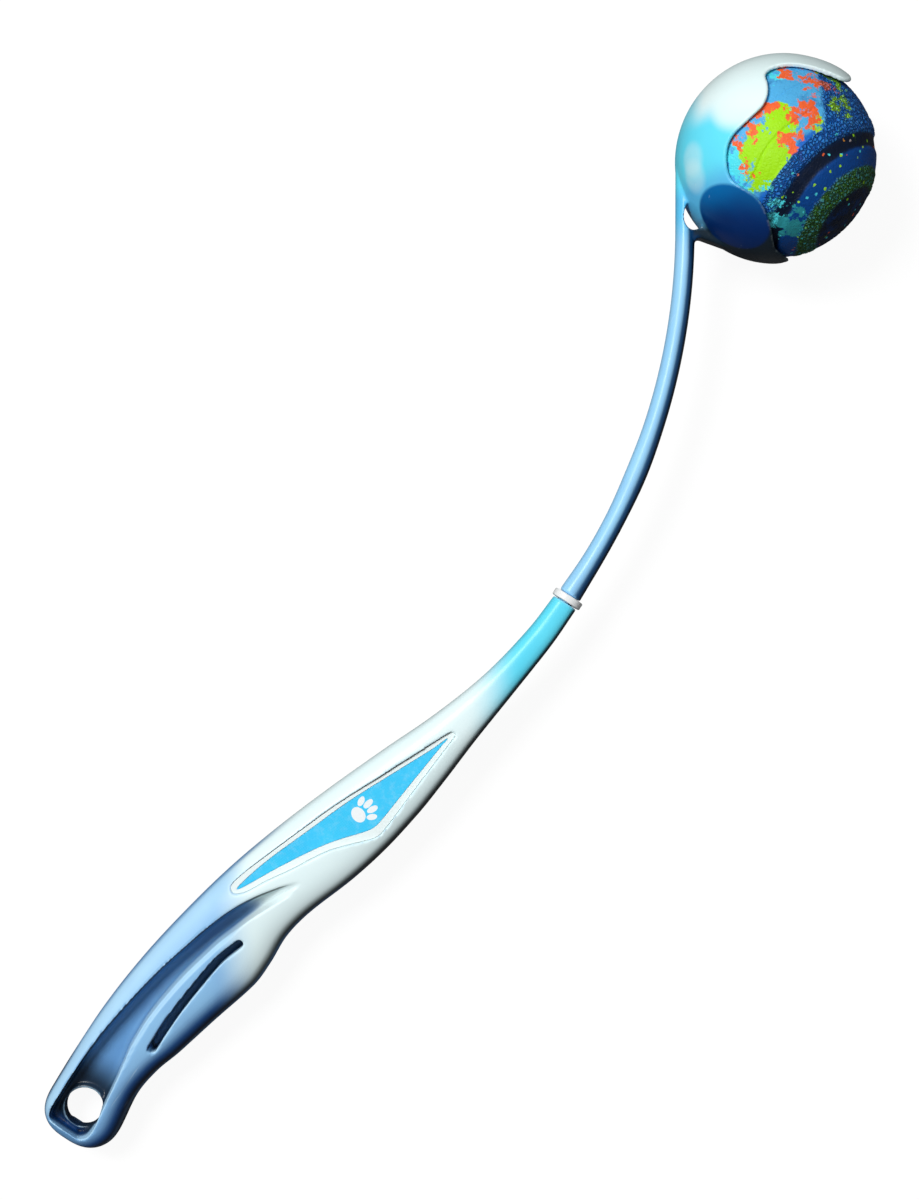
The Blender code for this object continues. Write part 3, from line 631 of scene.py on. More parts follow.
def curve_value(rows, place, column=1):
    """Reads one column of a table at a place, on a smooth curve through its rows."""
    last = len(rows) - 1
    place = min(max(place, rows[0][0]), rows[last][0])
    row = max(i for i in range(last) if rows[i][0] <= place)

    def slope(i):
        low, high = max(i - 1, 0), min(i + 1, last)
        return (rows[high][column] - rows[low][column]) / (rows[high][0] - rows[low][0])

    step = rows[row + 1][0] - rows[row][0]
    part = (place - rows[row][0]) / step
    start, end = rows[row][column], rows[row + 1][column]
    leaving = part * (1 - part) ** 2 * step * slope(row)
    arriving = part**2 * (part - 1) * step * slope(row + 1)
    return start + (end - start) * smooth_step(part) + leaving + arriving


def opening_axis():
    """Direction in which the ball leaves the cup."""
    return Vector((math.cos(sizes().opening_tilt), math.sin(sizes().opening_tilt), 0))


def cup_up():
    """Direction from the ball to the finger of the cup, in the mid-plane."""
    axis = opening_axis()
    return Vector((-axis.y, axis.x, 0))


def cup_radius():
    """Radius of the cup's outer wall."""
    return sizes().ball_diameter / 2 + sizes().cup_clearance + sizes().cup_wall


def shaft_offset():
    """Distance of the shaft's middle behind the ball's centre."""
    return cup_radius() - sizes().shaft_width * SHAFT_WIDTH_SHARES[-1][1] / 2


def bend_centre():
    """Centre of the arc that the shaft follows."""
    start = -opening_axis() * shaft_offset() - cup_up() * sizes().shaft_bend_start
    return start - opening_axis() * sizes().shaft_bend_radius


def shaft_lower_end():
    """Point of the shaft's middle line at the collar."""
    return bend_centre() + Vector((sizes().shaft_bend_radius, -sizes().shaft_straight, 0))


def shaft_point(place):
    """Point and sideways direction on the shaft, from 0 at the collar to 1 at the cup."""
    size = sizes()
    bend = size.shaft_bend_radius * size.opening_tilt
    travelled = place * (size.shaft_straight + bend + size.shaft_bend_start)
    if travelled < size.shaft_straight:
        return shaft_lower_end() + Vector((0, travelled, 0)), SIDEWAYS
    if travelled < size.shaft_straight + bend:
        angle = (travelled - size.shaft_straight) / size.shaft_bend_radius
        side = Vector((math.cos(angle), math.sin(angle), 0))
        return bend_centre() + side * size.shaft_bend_radius, side
    past = travelled - size.shaft_straight - bend - size.shaft_bend_start
    return cup_up() * past - opening_axis() * shaft_offset(), opening_axis()


def neck_x():
    """Place of the neck's axis across the thrower."""
    return shaft_lower_end().x


def handle_y(length_share):
    """Place along the handle, from 0 at its free end to 1 at the neck's face."""
    face = shaft_lower_end().y - 2 * sizes().joint_clearance - sizes().collar_length
    return face - sizes().handle_length * (1 - length_share)


def handle_back_x(length_share):
    """Place of the handle's back edge."""
    sweep = sizes().handle_sweep * curve_value(SPINE_SHARES, length_share)
    return neck_x() - sizes().neck_width / 2 - sweep


def handle_width(length_share):
    """Width of the handle from its back to the finger side."""
    size = sizes()
    gain = (size.grip_width - size.neck_width) * curve_value(WIDTH_SHARES, length_share)
    return size.neck_width + gain


def handle_half_depth(length_share):
    """Half of the handle's depth across the mid-plane."""
    size = sizes()
    gain = (size.grip_depth - size.neck_depth) * curve_value(DEPTH_SHARES, length_share)
    return (size.neck_depth + gain) / 2


def side_point(length_share, width_share):
    """A point of the mid-plane, from the handle's own shares."""
    x = handle_back_x(length_share) + handle_width(length_share) * width_share
    return Vector((x, handle_y(length_share), 0))


def hang_hole_centre():
    """Centre of the hang hole."""
    return side_point(sizes().hang_hole_distance / sizes().handle_length, HANG_HOLE_WIDTH_SHARE)


def ball_place():
    """Place of the ball's centre in the frame."""
    size = sizes()
    back = neck_x() - size.neck_width / 2 - size.handle_sweep
    top = cup_radius() + size.cup_flare
    lowest = size.ball_diameter / 2 * math.cos(FLAT_TURN)
    return Vector((-(back + size.ball_diameter / 2) / 2, -(handle_y(0) + top) / 2, lowest))


# Making meshes


def skin(around, along, place, closed_ends=False):
    """A tube from a grid: place(u, v) gives its points, with u round it and v along it, from 0 to 1."""
    builder = bmesh.new()
    bmesh.ops.create_grid(builder, x_segments=around, y_segments=along, size=0.5)
    for vert in builder.verts:
        u = round((vert.co.x + 0.5) * around) / around
        v = round((vert.co.y + 0.5) * along) / along
        vert.co = place(u % 1, v)
    bmesh.ops.remove_doubles(builder, verts=builder.verts, dist=1e-6)
    if closed_ends:
        bmesh.ops.holes_fill(builder, edges=[edge for edge in builder.edges if edge.is_boundary])
    bmesh.ops.recalc_face_normals(builder, faces=builder.faces)
    return builder


def oval(centre, side, half_width, half_depth, squareness, u):
    """A point on a section between an ellipse and a rectangle, across the direction of the shape."""
    turn = 2 * math.pi * u
    across, up = math.cos(turn), math.sin(turn)
    x = math.copysign(abs(across) ** (2 / squareness), across) * half_width
    z = math.copysign(abs(up) ** (2 / squareness), up) * half_depth
    return centre + side * x + Vector((0, 0, z))


def slab(outline, low, high):
    """A solid over an outline, between two heights that may depend on the place."""
    builder = bmesh.new()
    base = builder.faces.new([builder.verts.new((p.x, p.y, low(p))) for p in outline])
    grown = bmesh.ops.extrude_face_region(builder, geom=[base])["geom"]
    for vert in grown:
        if isinstance(vert, bmesh.types.BMVert):
            vert.co.z = high(vert.co)
    bmesh.ops.recalc_face_normals(builder, faces=builder.faces)
    return builder


def bevelled(builder, edges, offset, segments):
    """Rounds some edges of a shape."""
    bmesh.ops.bevel(
        builder,
        geom=edges,
        offset=offset,
        affect="EDGES",
        segments=segments,
        profile=0.5,
        material=-1,
    )


def level(height):
    """A height that is the same everywhere."""
    return lambda point: height


def rounded(outline, steps=6):
    """A finer outline that runs smoothly through the points of a coarse one."""
    count = len(outline)
    fine = []
    for i in range(count):
        before, start, end, after = (outline[(i + k) % count] for k in (-1, 0, 1, 2))
        leaving, arriving = (end - before) / 2, (after - start) / 2
        reach = (end - start).length
        leaving *= min(1, reach / max(leaving.length, 1e-9))
        arriving *= min(1, reach / max(arriving.length, 1e-9))
        for k in range(steps):
            t = k / steps
            point = start + (end - start) * smooth_step(t)
            fine.append(point + leaving * t * (1 - t) ** 2 + arriving * t * t * (t - 1))
    return fine


def drawn_in(outline, distance):
    """Moves each point of a fine outline inwards, or out for a negative distance."""
    count = len(outline)
    area = sum(outline[i - 1].cross(outline[i]).z for i in range(count))
    inward = distance * math.copysign(1, area)
    moved = []
    for i in range(count):
        along = (outline[(i + 1) % count] - outline[i - 1]).normalized()
        moved.append(outline[i] + Vector((-along.y, along.x, 0)) * inward)
    return moved


def piece_from(builder, name):
    """Turns a bmesh into an object, set in its place in the frame."""
    bmesh.ops.translate(builder, verts=builder.verts, vec=ball_place())
    mesh = bpy.data.meshes.new(name)
    builder.to_mesh(mesh)
    builder.free()
    mesh.shade_smooth()
    piece = bpy.data.objects.new(name, mesh)
    bpy.context.scene.collection.objects.link(piece)
    return piece


def combined(piece, other, operation):
    """Adds an exact Boolean with another object to a piece."""
    modifier = piece.modifiers.new(operation.title(), "BOOLEAN")
    modifier.object = other
    modifier.operation = operation
    modifier.solver = "EXACT"


def shaped_by(piece, builder, operation):
    """Adds an exact Boolean with a shape that is still being built to a piece."""
    combined(piece, piece_from(builder, f"{piece.name}_{operation.lower()}"), operation)


def settle(piece):
    """Makes a piece's modifiers part of its mesh, and removes the shapes that they used."""
    helpers = [m.object for m in piece.modifiers if m.type == "BOOLEAN"]
    graph = bpy.context.evaluated_depsgraph_get()
    mesh = bpy.data.meshes.new_from_object(piece.evaluated_get(graph))
    piece.modifiers.clear()
    piece.data = mesh
    for helper in helpers:
        bpy.data.objects.remove(helper, do_unlink=True)
    mesh.shade_smooth()


def keep_in_box(piece):
    """Holds a piece within the whole object's box, which a fine skin can pass by a hair."""
    low, high = (np.array(corner) for corner in CAD_BOX)
    points = np.empty(len(piece.data.vertices) * 3)
    piece.data.vertices.foreach_get("co", points)
    held = np.clip(points.reshape(-1, 3), low, high)
    piece.data.vertices.foreach_set("co", held.ravel())
    piece.data.update()


def thinned(piece, most):
    """Leaves at most this many triangles, taking them from where the shape is plain."""
    triangles = sum(len(face.vertices) - 2 for face in piece.data.polygons)
    if triangles > most:
        modifier = piece.modifiers.new("Plainer skin", "DECIMATE")
        modifier.ratio = most / triangles
        settle(piece)


def mould(piece, rounds):
    """Rounds every edge of a closed piece as a mould does, by a fine remesh that is smoothed."""
    remesh = piece.modifiers.new("Moulded skin", "REMESH")
    remesh.mode = "VOXEL"
    remesh.voxel_size = sizes().moulding_fineness
    remesh.use_smooth_shade = True
    smooth = piece.modifiers.new("Moulded edges", "SMOOTH")
    smooth.factor = 0.5
    smooth.iterations = rounds
    settle(piece)
    thinned(piece, MOST_TRIANGLES)
    keep_in_box(piece)


def mark_ridges(piece, rounds=6):
    """Keeps on each point how far it stands out: below 0 in a corner, above 0 on an edge."""
    mesh = piece.data
    count = len(mesh.vertices)
    points = np.empty(count * 3)
    normals = np.empty(count * 3)
    ends = np.empty(len(mesh.edges) * 2, dtype=np.int64)
    mesh.vertices.foreach_get("co", points)
    mesh.vertices.foreach_get("normal", normals)
    mesh.edges.foreach_get("vertices", ends)
    points, normals, ends = points.reshape(-1, 3), normals.reshape(-1, 3), ends.reshape(-1, 2)
    both = np.concatenate([ends, ends[:, ::-1]])
    here, there = both[:, 0], both[:, 1]
    steps = points[there] - points[here]
    reach = np.maximum(np.linalg.norm(steps, axis=1), 1e-9)
    lean = -np.einsum("ij,ij->i", normals[here], steps) / reach
    neighbours = np.maximum(np.bincount(here, minlength=count), 1)
    value = np.bincount(here, weights=lean, minlength=count) / neighbours
    for _ in range(rounds):
        around = np.bincount(here, weights=value[there], minlength=count) / neighbours
        value = (value + around) / 2
    attribute = mesh.attributes.new("ridge", "FLOAT", "POINT")
    attribute.data.foreach_set("value", value.astype(np.float32))


def finish_piece(piece, finish, body, slot, *nodes):
    """Gives a piece its material and its place in the frame."""
    piece.data.materials.clear()
    piece.data.materials.append(finish)
    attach(piece, body)
    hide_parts(*nodes)


# Node helpers and the groups that several materials share


def fill(tree, node, values):
    """Links or sets the inputs of a node."""
    for socket, value in values.items():
        if isinstance(value, bpy.types.NodeSocket):
            tree.links.new(value, node.inputs[socket])
        else:
            node.inputs[socket].default_value = value


def add(tree, kind, values=None, **settings):
    """Adds a node, with its inputs linked or set."""
    made = tree.nodes.new(kind)
    for name, value in settings.items():
        setattr(made, name, value)
    fill(tree, made, values or {})
    return made


def maths(tree, operation, first, second=0.0, clamp=False):
    """One sum of two values."""
    values = {0: first, 1: second}
    return add(tree, "ShaderNodeMath", values, operation=operation, use_clamp=clamp).outputs[0]


def product(tree, *values):
    """The product of some values."""
    made = values[0]
    for value in values[1:]:
        made = maths(tree, "MULTIPLY", made, value)
    return made


def inverse(tree, mask):
    """What a mask leaves out."""
    return maths(tree, "SUBTRACT", 1.0, mask)


def vectors(tree, operation, first, second=(0.0, 0.0, 0.0), scale=1.0):
    """One sum of two vectors, as its Vector and Value sockets."""
    values = {0: first, 1: second, 3: scale}
    return add(tree, "ShaderNodeVectorMath", values, operation=operation).outputs


def noise_at(tree, vector, scale, detail, roughness=0.5, distortion=0.0):
    """A noise texture, as its Fac and Color sockets."""
    values = {
        "Vector": vector,
        "Scale": scale,
        "Detail": detail,
        "Roughness": roughness,
        "Distortion": distortion,
    }
    return add(tree, "ShaderNodeTexNoise", values).outputs


def cells_at(tree, vector, scale, feature="F1", randomness=1.0):
    """A cell texture, as its Distance and Color sockets."""
    values = {"Vector": vector, "Scale": scale, "Randomness": randomness}
    return add(tree, "ShaderNodeTexVoronoi", values, feature=feature).outputs


def attribute_of(tree, name):
    """A value that is kept on the points of a mesh."""
    return add(tree, "ShaderNodeAttribute", attribute_name=name).outputs["Fac"]


def part_of(tree, vector, axis):
    """One part of a vector, by the name of its axis."""
    return add(tree, "ShaderNodeSeparateXYZ", {0: vector}).outputs[axis]


def mixed(tree, factor, first, second, blend="MIX"):
    """A mix of two colours."""
    tones = {
        socket: value if isinstance(value, bpy.types.NodeSocket) else (*value[:3], 1)
        for socket, value in ((6, first), (7, second))
    }
    values = {0: factor, **tones}
    return add(tree, "ShaderNodeMix", values, data_type="RGBA", blend_type=blend).outputs[2]


def laid_over(tree, under, over, *shares):
    """A colour that covers another one by the product of some shares."""
    return mixed(tree, product(tree, *shares), under, over)


def eased(tree, value, start, end, low=0.0, high=1.0):
    """Maps a value smoothly from one range to another."""
    values = {"Value": value, "From Min": start, "From Max": end, "To Min": low, "To Max": high}
    return add(tree, "ShaderNodeMapRange", values, interpolation_type="SMOOTHSTEP").outputs["Result"]


def share_of(tree, value, start, end):
    """Where a value lies between two others, from 0 to 1."""
    values = {"Value": value, "From Min": start, "From Max": end}
    return add(tree, "ShaderNodeMapRange", values).outputs["Result"]


def between(tree, value, start, full, leaving, end):
    """Mask of a stretch, eased at both of its ends."""
    return product(tree, eased(tree, value, start, full), eased(tree, value, leaving, end, 1.0, 0.0))


def new_group(name, inputs, outputs):
    """An empty node group with named sockets, each given as a name, a kind and a default."""
    tree = bpy.data.node_groups.new(name, "ShaderNodeTree")
    for title, kind, default in inputs:
        kind = f"NodeSocket{kind}"
        socket = tree.interface.new_socket(name=title, in_out="INPUT", socket_type=kind)
        if default is not None:
            socket.default_value = default
    for title in outputs:
        tree.interface.new_socket(name=title, in_out="OUTPUT", socket_type="NodeSocketFloat")
    return tree, add(tree, "NodeGroupInput").outputs, add(tree, "NodeGroupOutput").inputs


def use_group(tree, group, values):
    """Places a node group, with its inputs linked or set."""
    made = tree.nodes.new("ShaderNodeGroup")
    made.node_tree = group
    fill(tree, made, values)
    return made.outputs


def make_facing_group():
    """Mask of the places whose vector points along a direction."""
    inputs = (
        ("Vector", "Vector", None),
        ("Direction", "Vector", (0.0, 0.0, 1.0)),
        ("Start", "Float", 0.0),
        ("End", "Float", 1.0),
    )
    tree, given, result = new_group("Facing mask", inputs, ("Mask",))
    along = vectors(tree, "DOT_PRODUCT", given["Vector"], given["Direction"])["Value"]
    tree.links.new(eased(tree, along, given["Start"], given["End"]), result["Mask"])
    return tree


def make_grain_group():
    """Fine spark-eroded texture, slow flow waves and sink marks of a moulding."""
    inputs = (
        ("Vector", "Vector", None),
        ("Scale", "Float", 1600.0),
        ("Grain", "Float", 0.5),
        ("Waves", "Float", 0.5),
    )
    tree, given, result = new_group("Moulded grain", inputs, ("Height", "Gloss", "Tint"))
    vector = given["Vector"]
    speckle = noise_at(tree, vector, given["Scale"], 3.0)["Fac"]
    cells = cells_at(tree, vector, given["Scale"], "SMOOTH_F1")["Distance"]
    waves = noise_at(tree, vector, 70.0, 2.0, distortion=0.6)["Fac"]
    grain = product(tree, maths(tree, "ADD", speckle, cells), given["Grain"])
    slow = product(tree, waves, given["Waves"])
    tree.links.new(maths(tree, "ADD", grain, slow), result["Height"])
    tree.links.new(noise_at(tree, vector, 34.0, 4.0, 0.6)["Fac"], result["Gloss"])
    tree.links.new(waves, result["Tint"])
    return tree


def make_wear_group():
    """Scuffs along the edges, thin scratches, and dust in the corners."""
    inputs = (
        ("Vector", "Vector", None),
        ("Ridge", "Float", 0.0),
        ("Edge start", "Float", 0.05),
        ("Amount", "Float", 0.5),
    )
    tree, given, result = new_group("Handling wear", inputs, ("Scuff", "Scratch", "Dust"))
    vector, ridge, start = given["Vector"], given["Ridge"], given["Edge start"]
    broken = noise_at(tree, vector, 420.0, 5.0, 0.7)["Fac"]
    edge = eased(tree, ridge, start, product(tree, start, 3.0))
    corner = eased(tree, product(tree, ridge, -1.0), start, 0.3)
    values = {"Vector": vector, "Rotation": (0.0, 0.0, SCRATCH_TURN), "Scale": SCRATCH_SCALE}
    stretched = add(tree, "ShaderNodeMapping", values).outputs[0]
    thin = eased(tree, noise_at(tree, stretched, 1.0, 2.0)["Fac"], 0.70, 0.76)
    where = eased(tree, noise_at(tree, vector, 55.0, 1.0)["Fac"], 0.52, 0.66)
    masks = {
        "Scuff": (edge, eased(tree, broken, 0.46, 0.66)),
        "Scratch": (thin, where),
        "Dust": (corner, eased(tree, broken, 0.35, 0.6)),
    }
    for name, shares in masks.items():
        tree.links.new(product(tree, *shares, given["Amount"]), result[name])
    return tree


def groups():
    """The shared node groups, each built once."""
    makers = {
        "Facing mask": make_facing_group,
        "Moulded grain": make_grain_group,
        "Handling wear": make_wear_group,
    }
    return {name: bpy.data.node_groups.get(name) or maker() for name, maker in makers.items()}


def new_material(name):
    """A material with its node tree, its shader and the coordinates around the ball's centre."""
    finish = bpy.data.materials.new(name)
    finish.use_nodes = True
    tree = finish.node_tree
    place = add(tree, "ShaderNodeTexCoord").outputs["Object"]
    local = add(tree, "ShaderNodeMapping", {"Vector": place, "Location": -ball_place()}).outputs[0]
    return finish, tree, tree.nodes["Principled BSDF"], local


def outward(tree):
    """Direction in which the surface faces, on the piece's own axes."""
    return add(tree, "ShaderNodeTexCoord").outputs["Normal"]


def facing(tree, vector, direction, start, end):
    """Mask of the places whose vector points along a direction."""
    values = {"Vector": vector, "Direction": direction, "Start": start, "End": end}
    return use_group(tree, groups()["Facing mask"], values)["Mask"]


def run_of_colour(tree, place, stops):
    """Colours along a way, each given as its share of the way and its name."""
    ramp = add(tree, "ShaderNodeValToRGB", {"Fac": place})
    ramp.color_ramp.interpolation = "EASE"
    elements = ramp.color_ramp.elements
    while len(elements) < len(stops):
        elements.new(0.5)
    for element, (share, _) in zip(elements, stops):
        element.position = share
    for element, (_, name) in zip(elements, stops):
        element.color = (*getattr(colours(), name), 1)
    return ramp.outputs["Color"]


def add_bump(tree, shader, height, strength, distance):
    """Gives a shader the fine relief of a height."""
    values = {"Height": height, "Strength": strength, "Distance": distance}
    tree.links.new(add(tree, "ShaderNodeBump", values).outputs[0], shader.inputs["Normal"])


def finish_plastic(
    tree,
    shader,
    local,
    tone,
    roughness=PLASTIC_ROUGHNESS,
    grain=0.5,
    waves=0.6,
    edge_start=0.05,
    wear=0.5,
):
    """Moulded plastic over a given tone: grain, parting line, scuffs, scratches and dust."""
    pale, dust = colours().middle, colours().dust
    values = {"Vector": local, "Scale": 1 / sizes().mould_grain, "Grain": grain, "Waves": waves}
    moulded = use_group(tree, groups()["Moulded grain"], values)
    ridge = attribute_of(tree, "ridge")
    values = {"Vector": local, "Ridge": ridge, "Edge start": edge_start, "Amount": wear}
    worn = use_group(tree, groups()["Handling wear"], values)
    cloudy = eased(tree, moulded["Tint"], 0.35, 0.75, 0.0, 0.16)
    tone = mixed(tree, cloudy, tone, pale, "SOFT_LIGHT")
    for name, over, strength in (("Scuff", pale, 0.5), ("Dust", dust, 0.35), ("Scratch", pale, 0.35)):
        tone = laid_over(tree, tone, over, worn[name], strength)
    rough = eased(tree, moulded["Gloss"], 0.3, 0.7, roughness - 0.06, roughness + 0.08)
    rough = maths(tree, "ADD", rough, product(tree, worn["Scuff"], 0.2))
    rough = maths(tree, "ADD", rough, product(tree, worn["Dust"], 0.3), clamp=True)
    from_seam = maths(tree, "ABSOLUTE", part_of(tree, local, "Z"))
    seam = eased(tree, from_seam, 0.0, SEAM_HALF_WIDTH, 1.0, 0.0)
    relief = maths(tree, "ADD", moulded["Height"], product(tree, seam, 1.2))
    relief = maths(tree, "SUBTRACT", relief, product(tree, worn["Scratch"], 0.8))
    add_bump(tree, shader, relief, 0.35, 0.00012)
    fill(tree, shader, {"Base Color": tone, "Roughness": rough, **PLASTIC_SHADER})


# Ball


def ball_frame():
    """Directions across and up in the camera's view, and towards the camera."""
    return opening_axis(), cup_up(), Vector((0, 0, 1))


def channel_latitude(direction):
    """Degrees above the middle of the wavy channel, at a direction from the ball's centre."""
    across, up = opening_axis(), cup_up()
    axis = (up - across).normalized()
    longitude = math.atan2(direction.dot((up + across).normalized()), direction.z)
    latitude = math.degrees(math.asin(max(-1.0, min(1.0, direction.dot(axis)))))
    turn = CHANNEL_WAVES * (longitude - math.radians(CHANNEL_WAVE_START))
    return latitude - CHANNEL_LATITUDE - CHANNEL_WAVE_ANGLE * math.cos(turn)


def groove(direction):
    """1 on the thin grooves that follow the channel on the plain rubber, and 0 elsewhere."""
    height = channel_latitude(direction) + GROOVE_WOBBLE * noise.noise(direction * 3)
    near = min(abs(height - place) for place in GROOVE_HEIGHTS)
    broken = smooth_step((noise.noise(direction * 4 + Vector((3, 1, 2))) + 0.35) / 0.2)
    return smooth_step(1 - near / GROOVE_HALF_WIDTH) * broken


def band_of(height, low, high, edge):
    """1 between two heights above the channel, in degrees, with an eased edge inside them."""
    return smooth_step((height - low) / edge) * smooth_step((high - height) / edge)


def pebbled(direction, height):
    """How strongly the rubber is pebbled at a place, the height given in degrees above the channel."""
    bands = max(band_of(height, *BLUE_BAND_PEBBLES), band_of(height, *GREEN_BAND))
    aside = smooth_step((direction.dot(opening_axis()) - 0.28) / 0.1)
    beside = aside * smooth_step((height - 10) / 4)
    return max(bands, 0.8 * beside, 0.5 * smooth_step((GREEN_BAND[0] - height) / 4), 0.12)


def ball_depth(direction):
    """How far the ball's skin lies below its widest sphere."""
    size = sizes()
    height = channel_latitude(direction)
    channel = smooth_step((CHANNEL_REACH - abs(height)) / CHANNEL_EDGE_ANGLE)
    bands = max(band_of(height, *BLUE_BAND_RISE), band_of(height, *GREEN_BAND))
    depth = size.channel_depth * channel + size.field_depth * (1 - bands) * (1 - channel)
    place = direction * (size.ball_diameter / 2 / size.pebble_size)
    place += noise.noise_vector(place * 0.7) * 0.6
    near, far = noise.voronoi(place)[0][:2]
    lumps = 1 - smooth_step((far - near) / 0.45)
    uneven = lumps + 0.5 * abs(noise.noise(place * 0.8))
    depth += size.pebble_height * uneven * pebbled(direction, height)
    return depth + size.groove_depth * groove(direction)


def make_ball():
    """The rubber ball, as one closed skin with its channel, bands, pebbles and grooves."""
    noise.seed_set(PEBBLE_SEED)
    radius = sizes().ball_diameter / 2
    builder = bmesh.new()
    bmesh.ops.create_cube(builder, size=2)
    bmesh.ops.subdivide_edges(builder, edges=builder.edges, cuts=BALL_CUTS, use_grid_fill=True)
    band = builder.verts.layers.float.new("band")
    flat = radius * math.cos(FLAT_TURN)
    for vert in builder.verts:
        spread = Vector([math.tan(value * math.pi / 4) for value in vert.co])
        direction = spread.normalized()
        vert[band] = channel_latitude(direction) / 90
        vert.co = direction * (radius - ball_depth(direction))
        vert.co.z = min(max(vert.co.z, -flat), flat)
    bmesh.ops.recalc_face_normals(builder, faces=builder.faces)
    ball = piece_from(builder, "ball")
    keep_in_box(ball)
    return ball


def rubber_material():
    """Rubber in marbled patches, with pebbles, specks, and a darker channel."""
    finish, tree, shader, local = new_material("marbled_rubber")
    tone = colours()
    across, up, front = ball_frame()
    unit = vectors(tree, "NORMALIZE", local)["Vector"]
    ragged = noise_at(tree, unit, 6.0, 9.0, 0.7)
    centred = vectors(tree, "SUBTRACT", ragged["Color"], (0.5, 0.5, 0.5))["Vector"]
    pushed = vectors(tree, "SCALE", centred, scale=PATCH_RAGGEDNESS)["Vector"]
    torn = vectors(tree, "ADD", unit, pushed)["Vector"]
    # Height above the channel, from -1 to 1, with and without a ragged edge
    band = attribute_of(tree, "band")
    edge = product(tree, maths(tree, "SUBTRACT", ragged["Fac"], 0.5), 0.05)
    height = maths(tree, "ADD", band, edge)
    base = run_of_colour(tree, maths(tree, "ADD", height, 0.5), BALL_TONES)
    clouds = noise_at(tree, unit, 9.0, 6.0, 0.6)["Fac"]
    base = mixed(tree, eased(tree, clouds, 0.45, 0.75, 0.0, 0.5), base, tone.deep_blue)
    beside = facing(tree, torn, across, 0.26, 0.32)
    base = laid_over(tree, base, tone.blue, beside, eased(tree, height, 0.13, 0.15))

    def patched(under, patches):
        for a, b, side, reach, name in patches:
            rest = math.sqrt(max(0.0, 1 - a * a - b * b)) * side
            centre = (across * a + up * b + front * rest).normalized()
            start = math.cos(math.radians(reach + 1.0))
            end = math.cos(math.radians(max(reach - 0.3, 0.5)))
            patch = facing(tree, torn, centre, start, end)
            under = mixed(tree, patch, under, getattr(tone, name))
        return under

    over = patched(base, RUBBER_PATCHES)
    # The channel and the raised band above it keep their own colour over the patches
    raised = between(tree, height, 0.035, 0.045, 0.145, 0.155)
    over = laid_over(tree, over, tone.blue, raised, 0.96)
    channel = eased(tree, maths(tree, "ABSOLUTE", band), 0.035, 0.060, 1.0, 0.0)
    over = laid_over(tree, over, tone.navy, channel, 0.92)
    over = patched(over, LATE_PATCHES)
    # Leathery pebbles: painted highlight on their tops and painted shade in their gaps
    bent = vectors(tree, "SCALE", noise_at(tree, local, 900.0, 1.0)["Color"], scale=0.0011)["Vector"]
    place = vectors(tree, "ADD", local, bent)["Vector"]
    cells = cells_at(tree, place, 1.25 / sizes().pebble_size, "DISTANCE_TO_EDGE")["Distance"]
    crown = eased(tree, cells, 0.02, 0.26)
    green_band = between(tree, height, -0.36, -0.33, -0.20, -0.17)
    beside_band = product(tree, beside, eased(tree, height, 0.12, 0.15))
    rough_place = maths(tree, "MAXIMUM", maths(tree, "MAXIMUM", raised, green_band), beside_band)
    over = laid_over(tree, over, tone.sky, eased(tree, crown, 0.75, 1.0), rough_place, 0.28)
    over = laid_over(tree, over, tone.navy, eased(tree, crown, 0.35, 0.0), rough_place, 0.6)
    # Specks of the other rubbers
    specks = cells_at(tree, place, 620.0)
    few = maths(tree, "GREATER_THAN", part_of(tree, specks["Color"], "X"), 0.89)
    small = eased(tree, specks["Distance"], 0.36, 0.28)
    cold = maths(tree, "LESS_THAN", height, 0.14)
    kinds = run_of_colour(tree, part_of(tree, specks["Color"], "Y"), SPECK_TONES)
    over = laid_over(tree, over, kinds, few, small, cold, 0.9)
    fine = noise_at(tree, local, 2200.0, 4.0, 0.7)["Fac"]
    relief = product(tree, crown, maths(tree, "ADD", product(tree, rough_place, 0.9), 0.1))
    relief = maths(tree, "ADD", relief, product(tree, fine, 0.22))
    add_bump(tree, shader, relief, 0.9, 0.0007)
    rough = eased(tree, clouds, 0.3, 0.7, 0.36, 0.52)
    fill(tree, shader, {"Base Color": over, "Roughness": rough, **RUBBER_SHADER})
    return finish


# Arm


def rim_table():
    """Distance along half of the rim, azimuth and angle, at many points."""
    rows = [(i, *pair) for i, pair in enumerate(RIM_ANGLES)]
    places = [i / RIM_STEPS for i in range((len(rows) - 1) * RIM_STEPS + 1)]
    fine = [(curve_value(rows, place, 1), curve_value(rows, place, 2)) for place in places]
    run = [0.0]
    for before, after in zip(fine, fine[1:]):
        run.append(run[-1] + (cup_direction(*after) - cup_direction(*before)).length)
    return [value / run[-1] for value in run], fine


def cup_direction(azimuth, angle):
    """Unit direction from the ball's centre, from angles about the opening axis."""
    turn, lean = math.radians(azimuth), math.radians(angle)
    sideways = cup_up() * math.cos(turn) + Vector((0, 0, math.sin(turn)))
    return opening_axis() * math.cos(lean) + sideways * math.sin(lean)


def cup_wall_point(table, u, share, radius, past=0.0):
    """A point of the cup's wall, u round it, and share from 0 at its base to 1 at the rim."""
    size = sizes()
    run, fine = table
    half = 2 * u if u <= 0.5 else 2 * (1 - u)
    row = min(bisect_right(run, half), len(run) - 1) - 1
    part = (half - run[row]) / max(run[row + 1] - run[row], 1e-9)
    azimuth, angle = (fine[row][k] + (fine[row + 1][k] - fine[row][k]) * part for k in (0, 1))
    base = 180.0 * half
    if u > 0.5:
        base, azimuth = 360.0 - base, 360.0 - azimuth
    turn = base + (azimuth - base) * smooth_step(share)
    lean = 180.0 - (180.0 - angle) * share - math.degrees(past / radius)
    start = math.degrees(size.cup_flare_start)
    flare = size.cup_flare * smooth_step((start - lean) / (start - RIM_ANGLES[0][1]))
    return cup_direction(turn, lean) * (radius + flare)


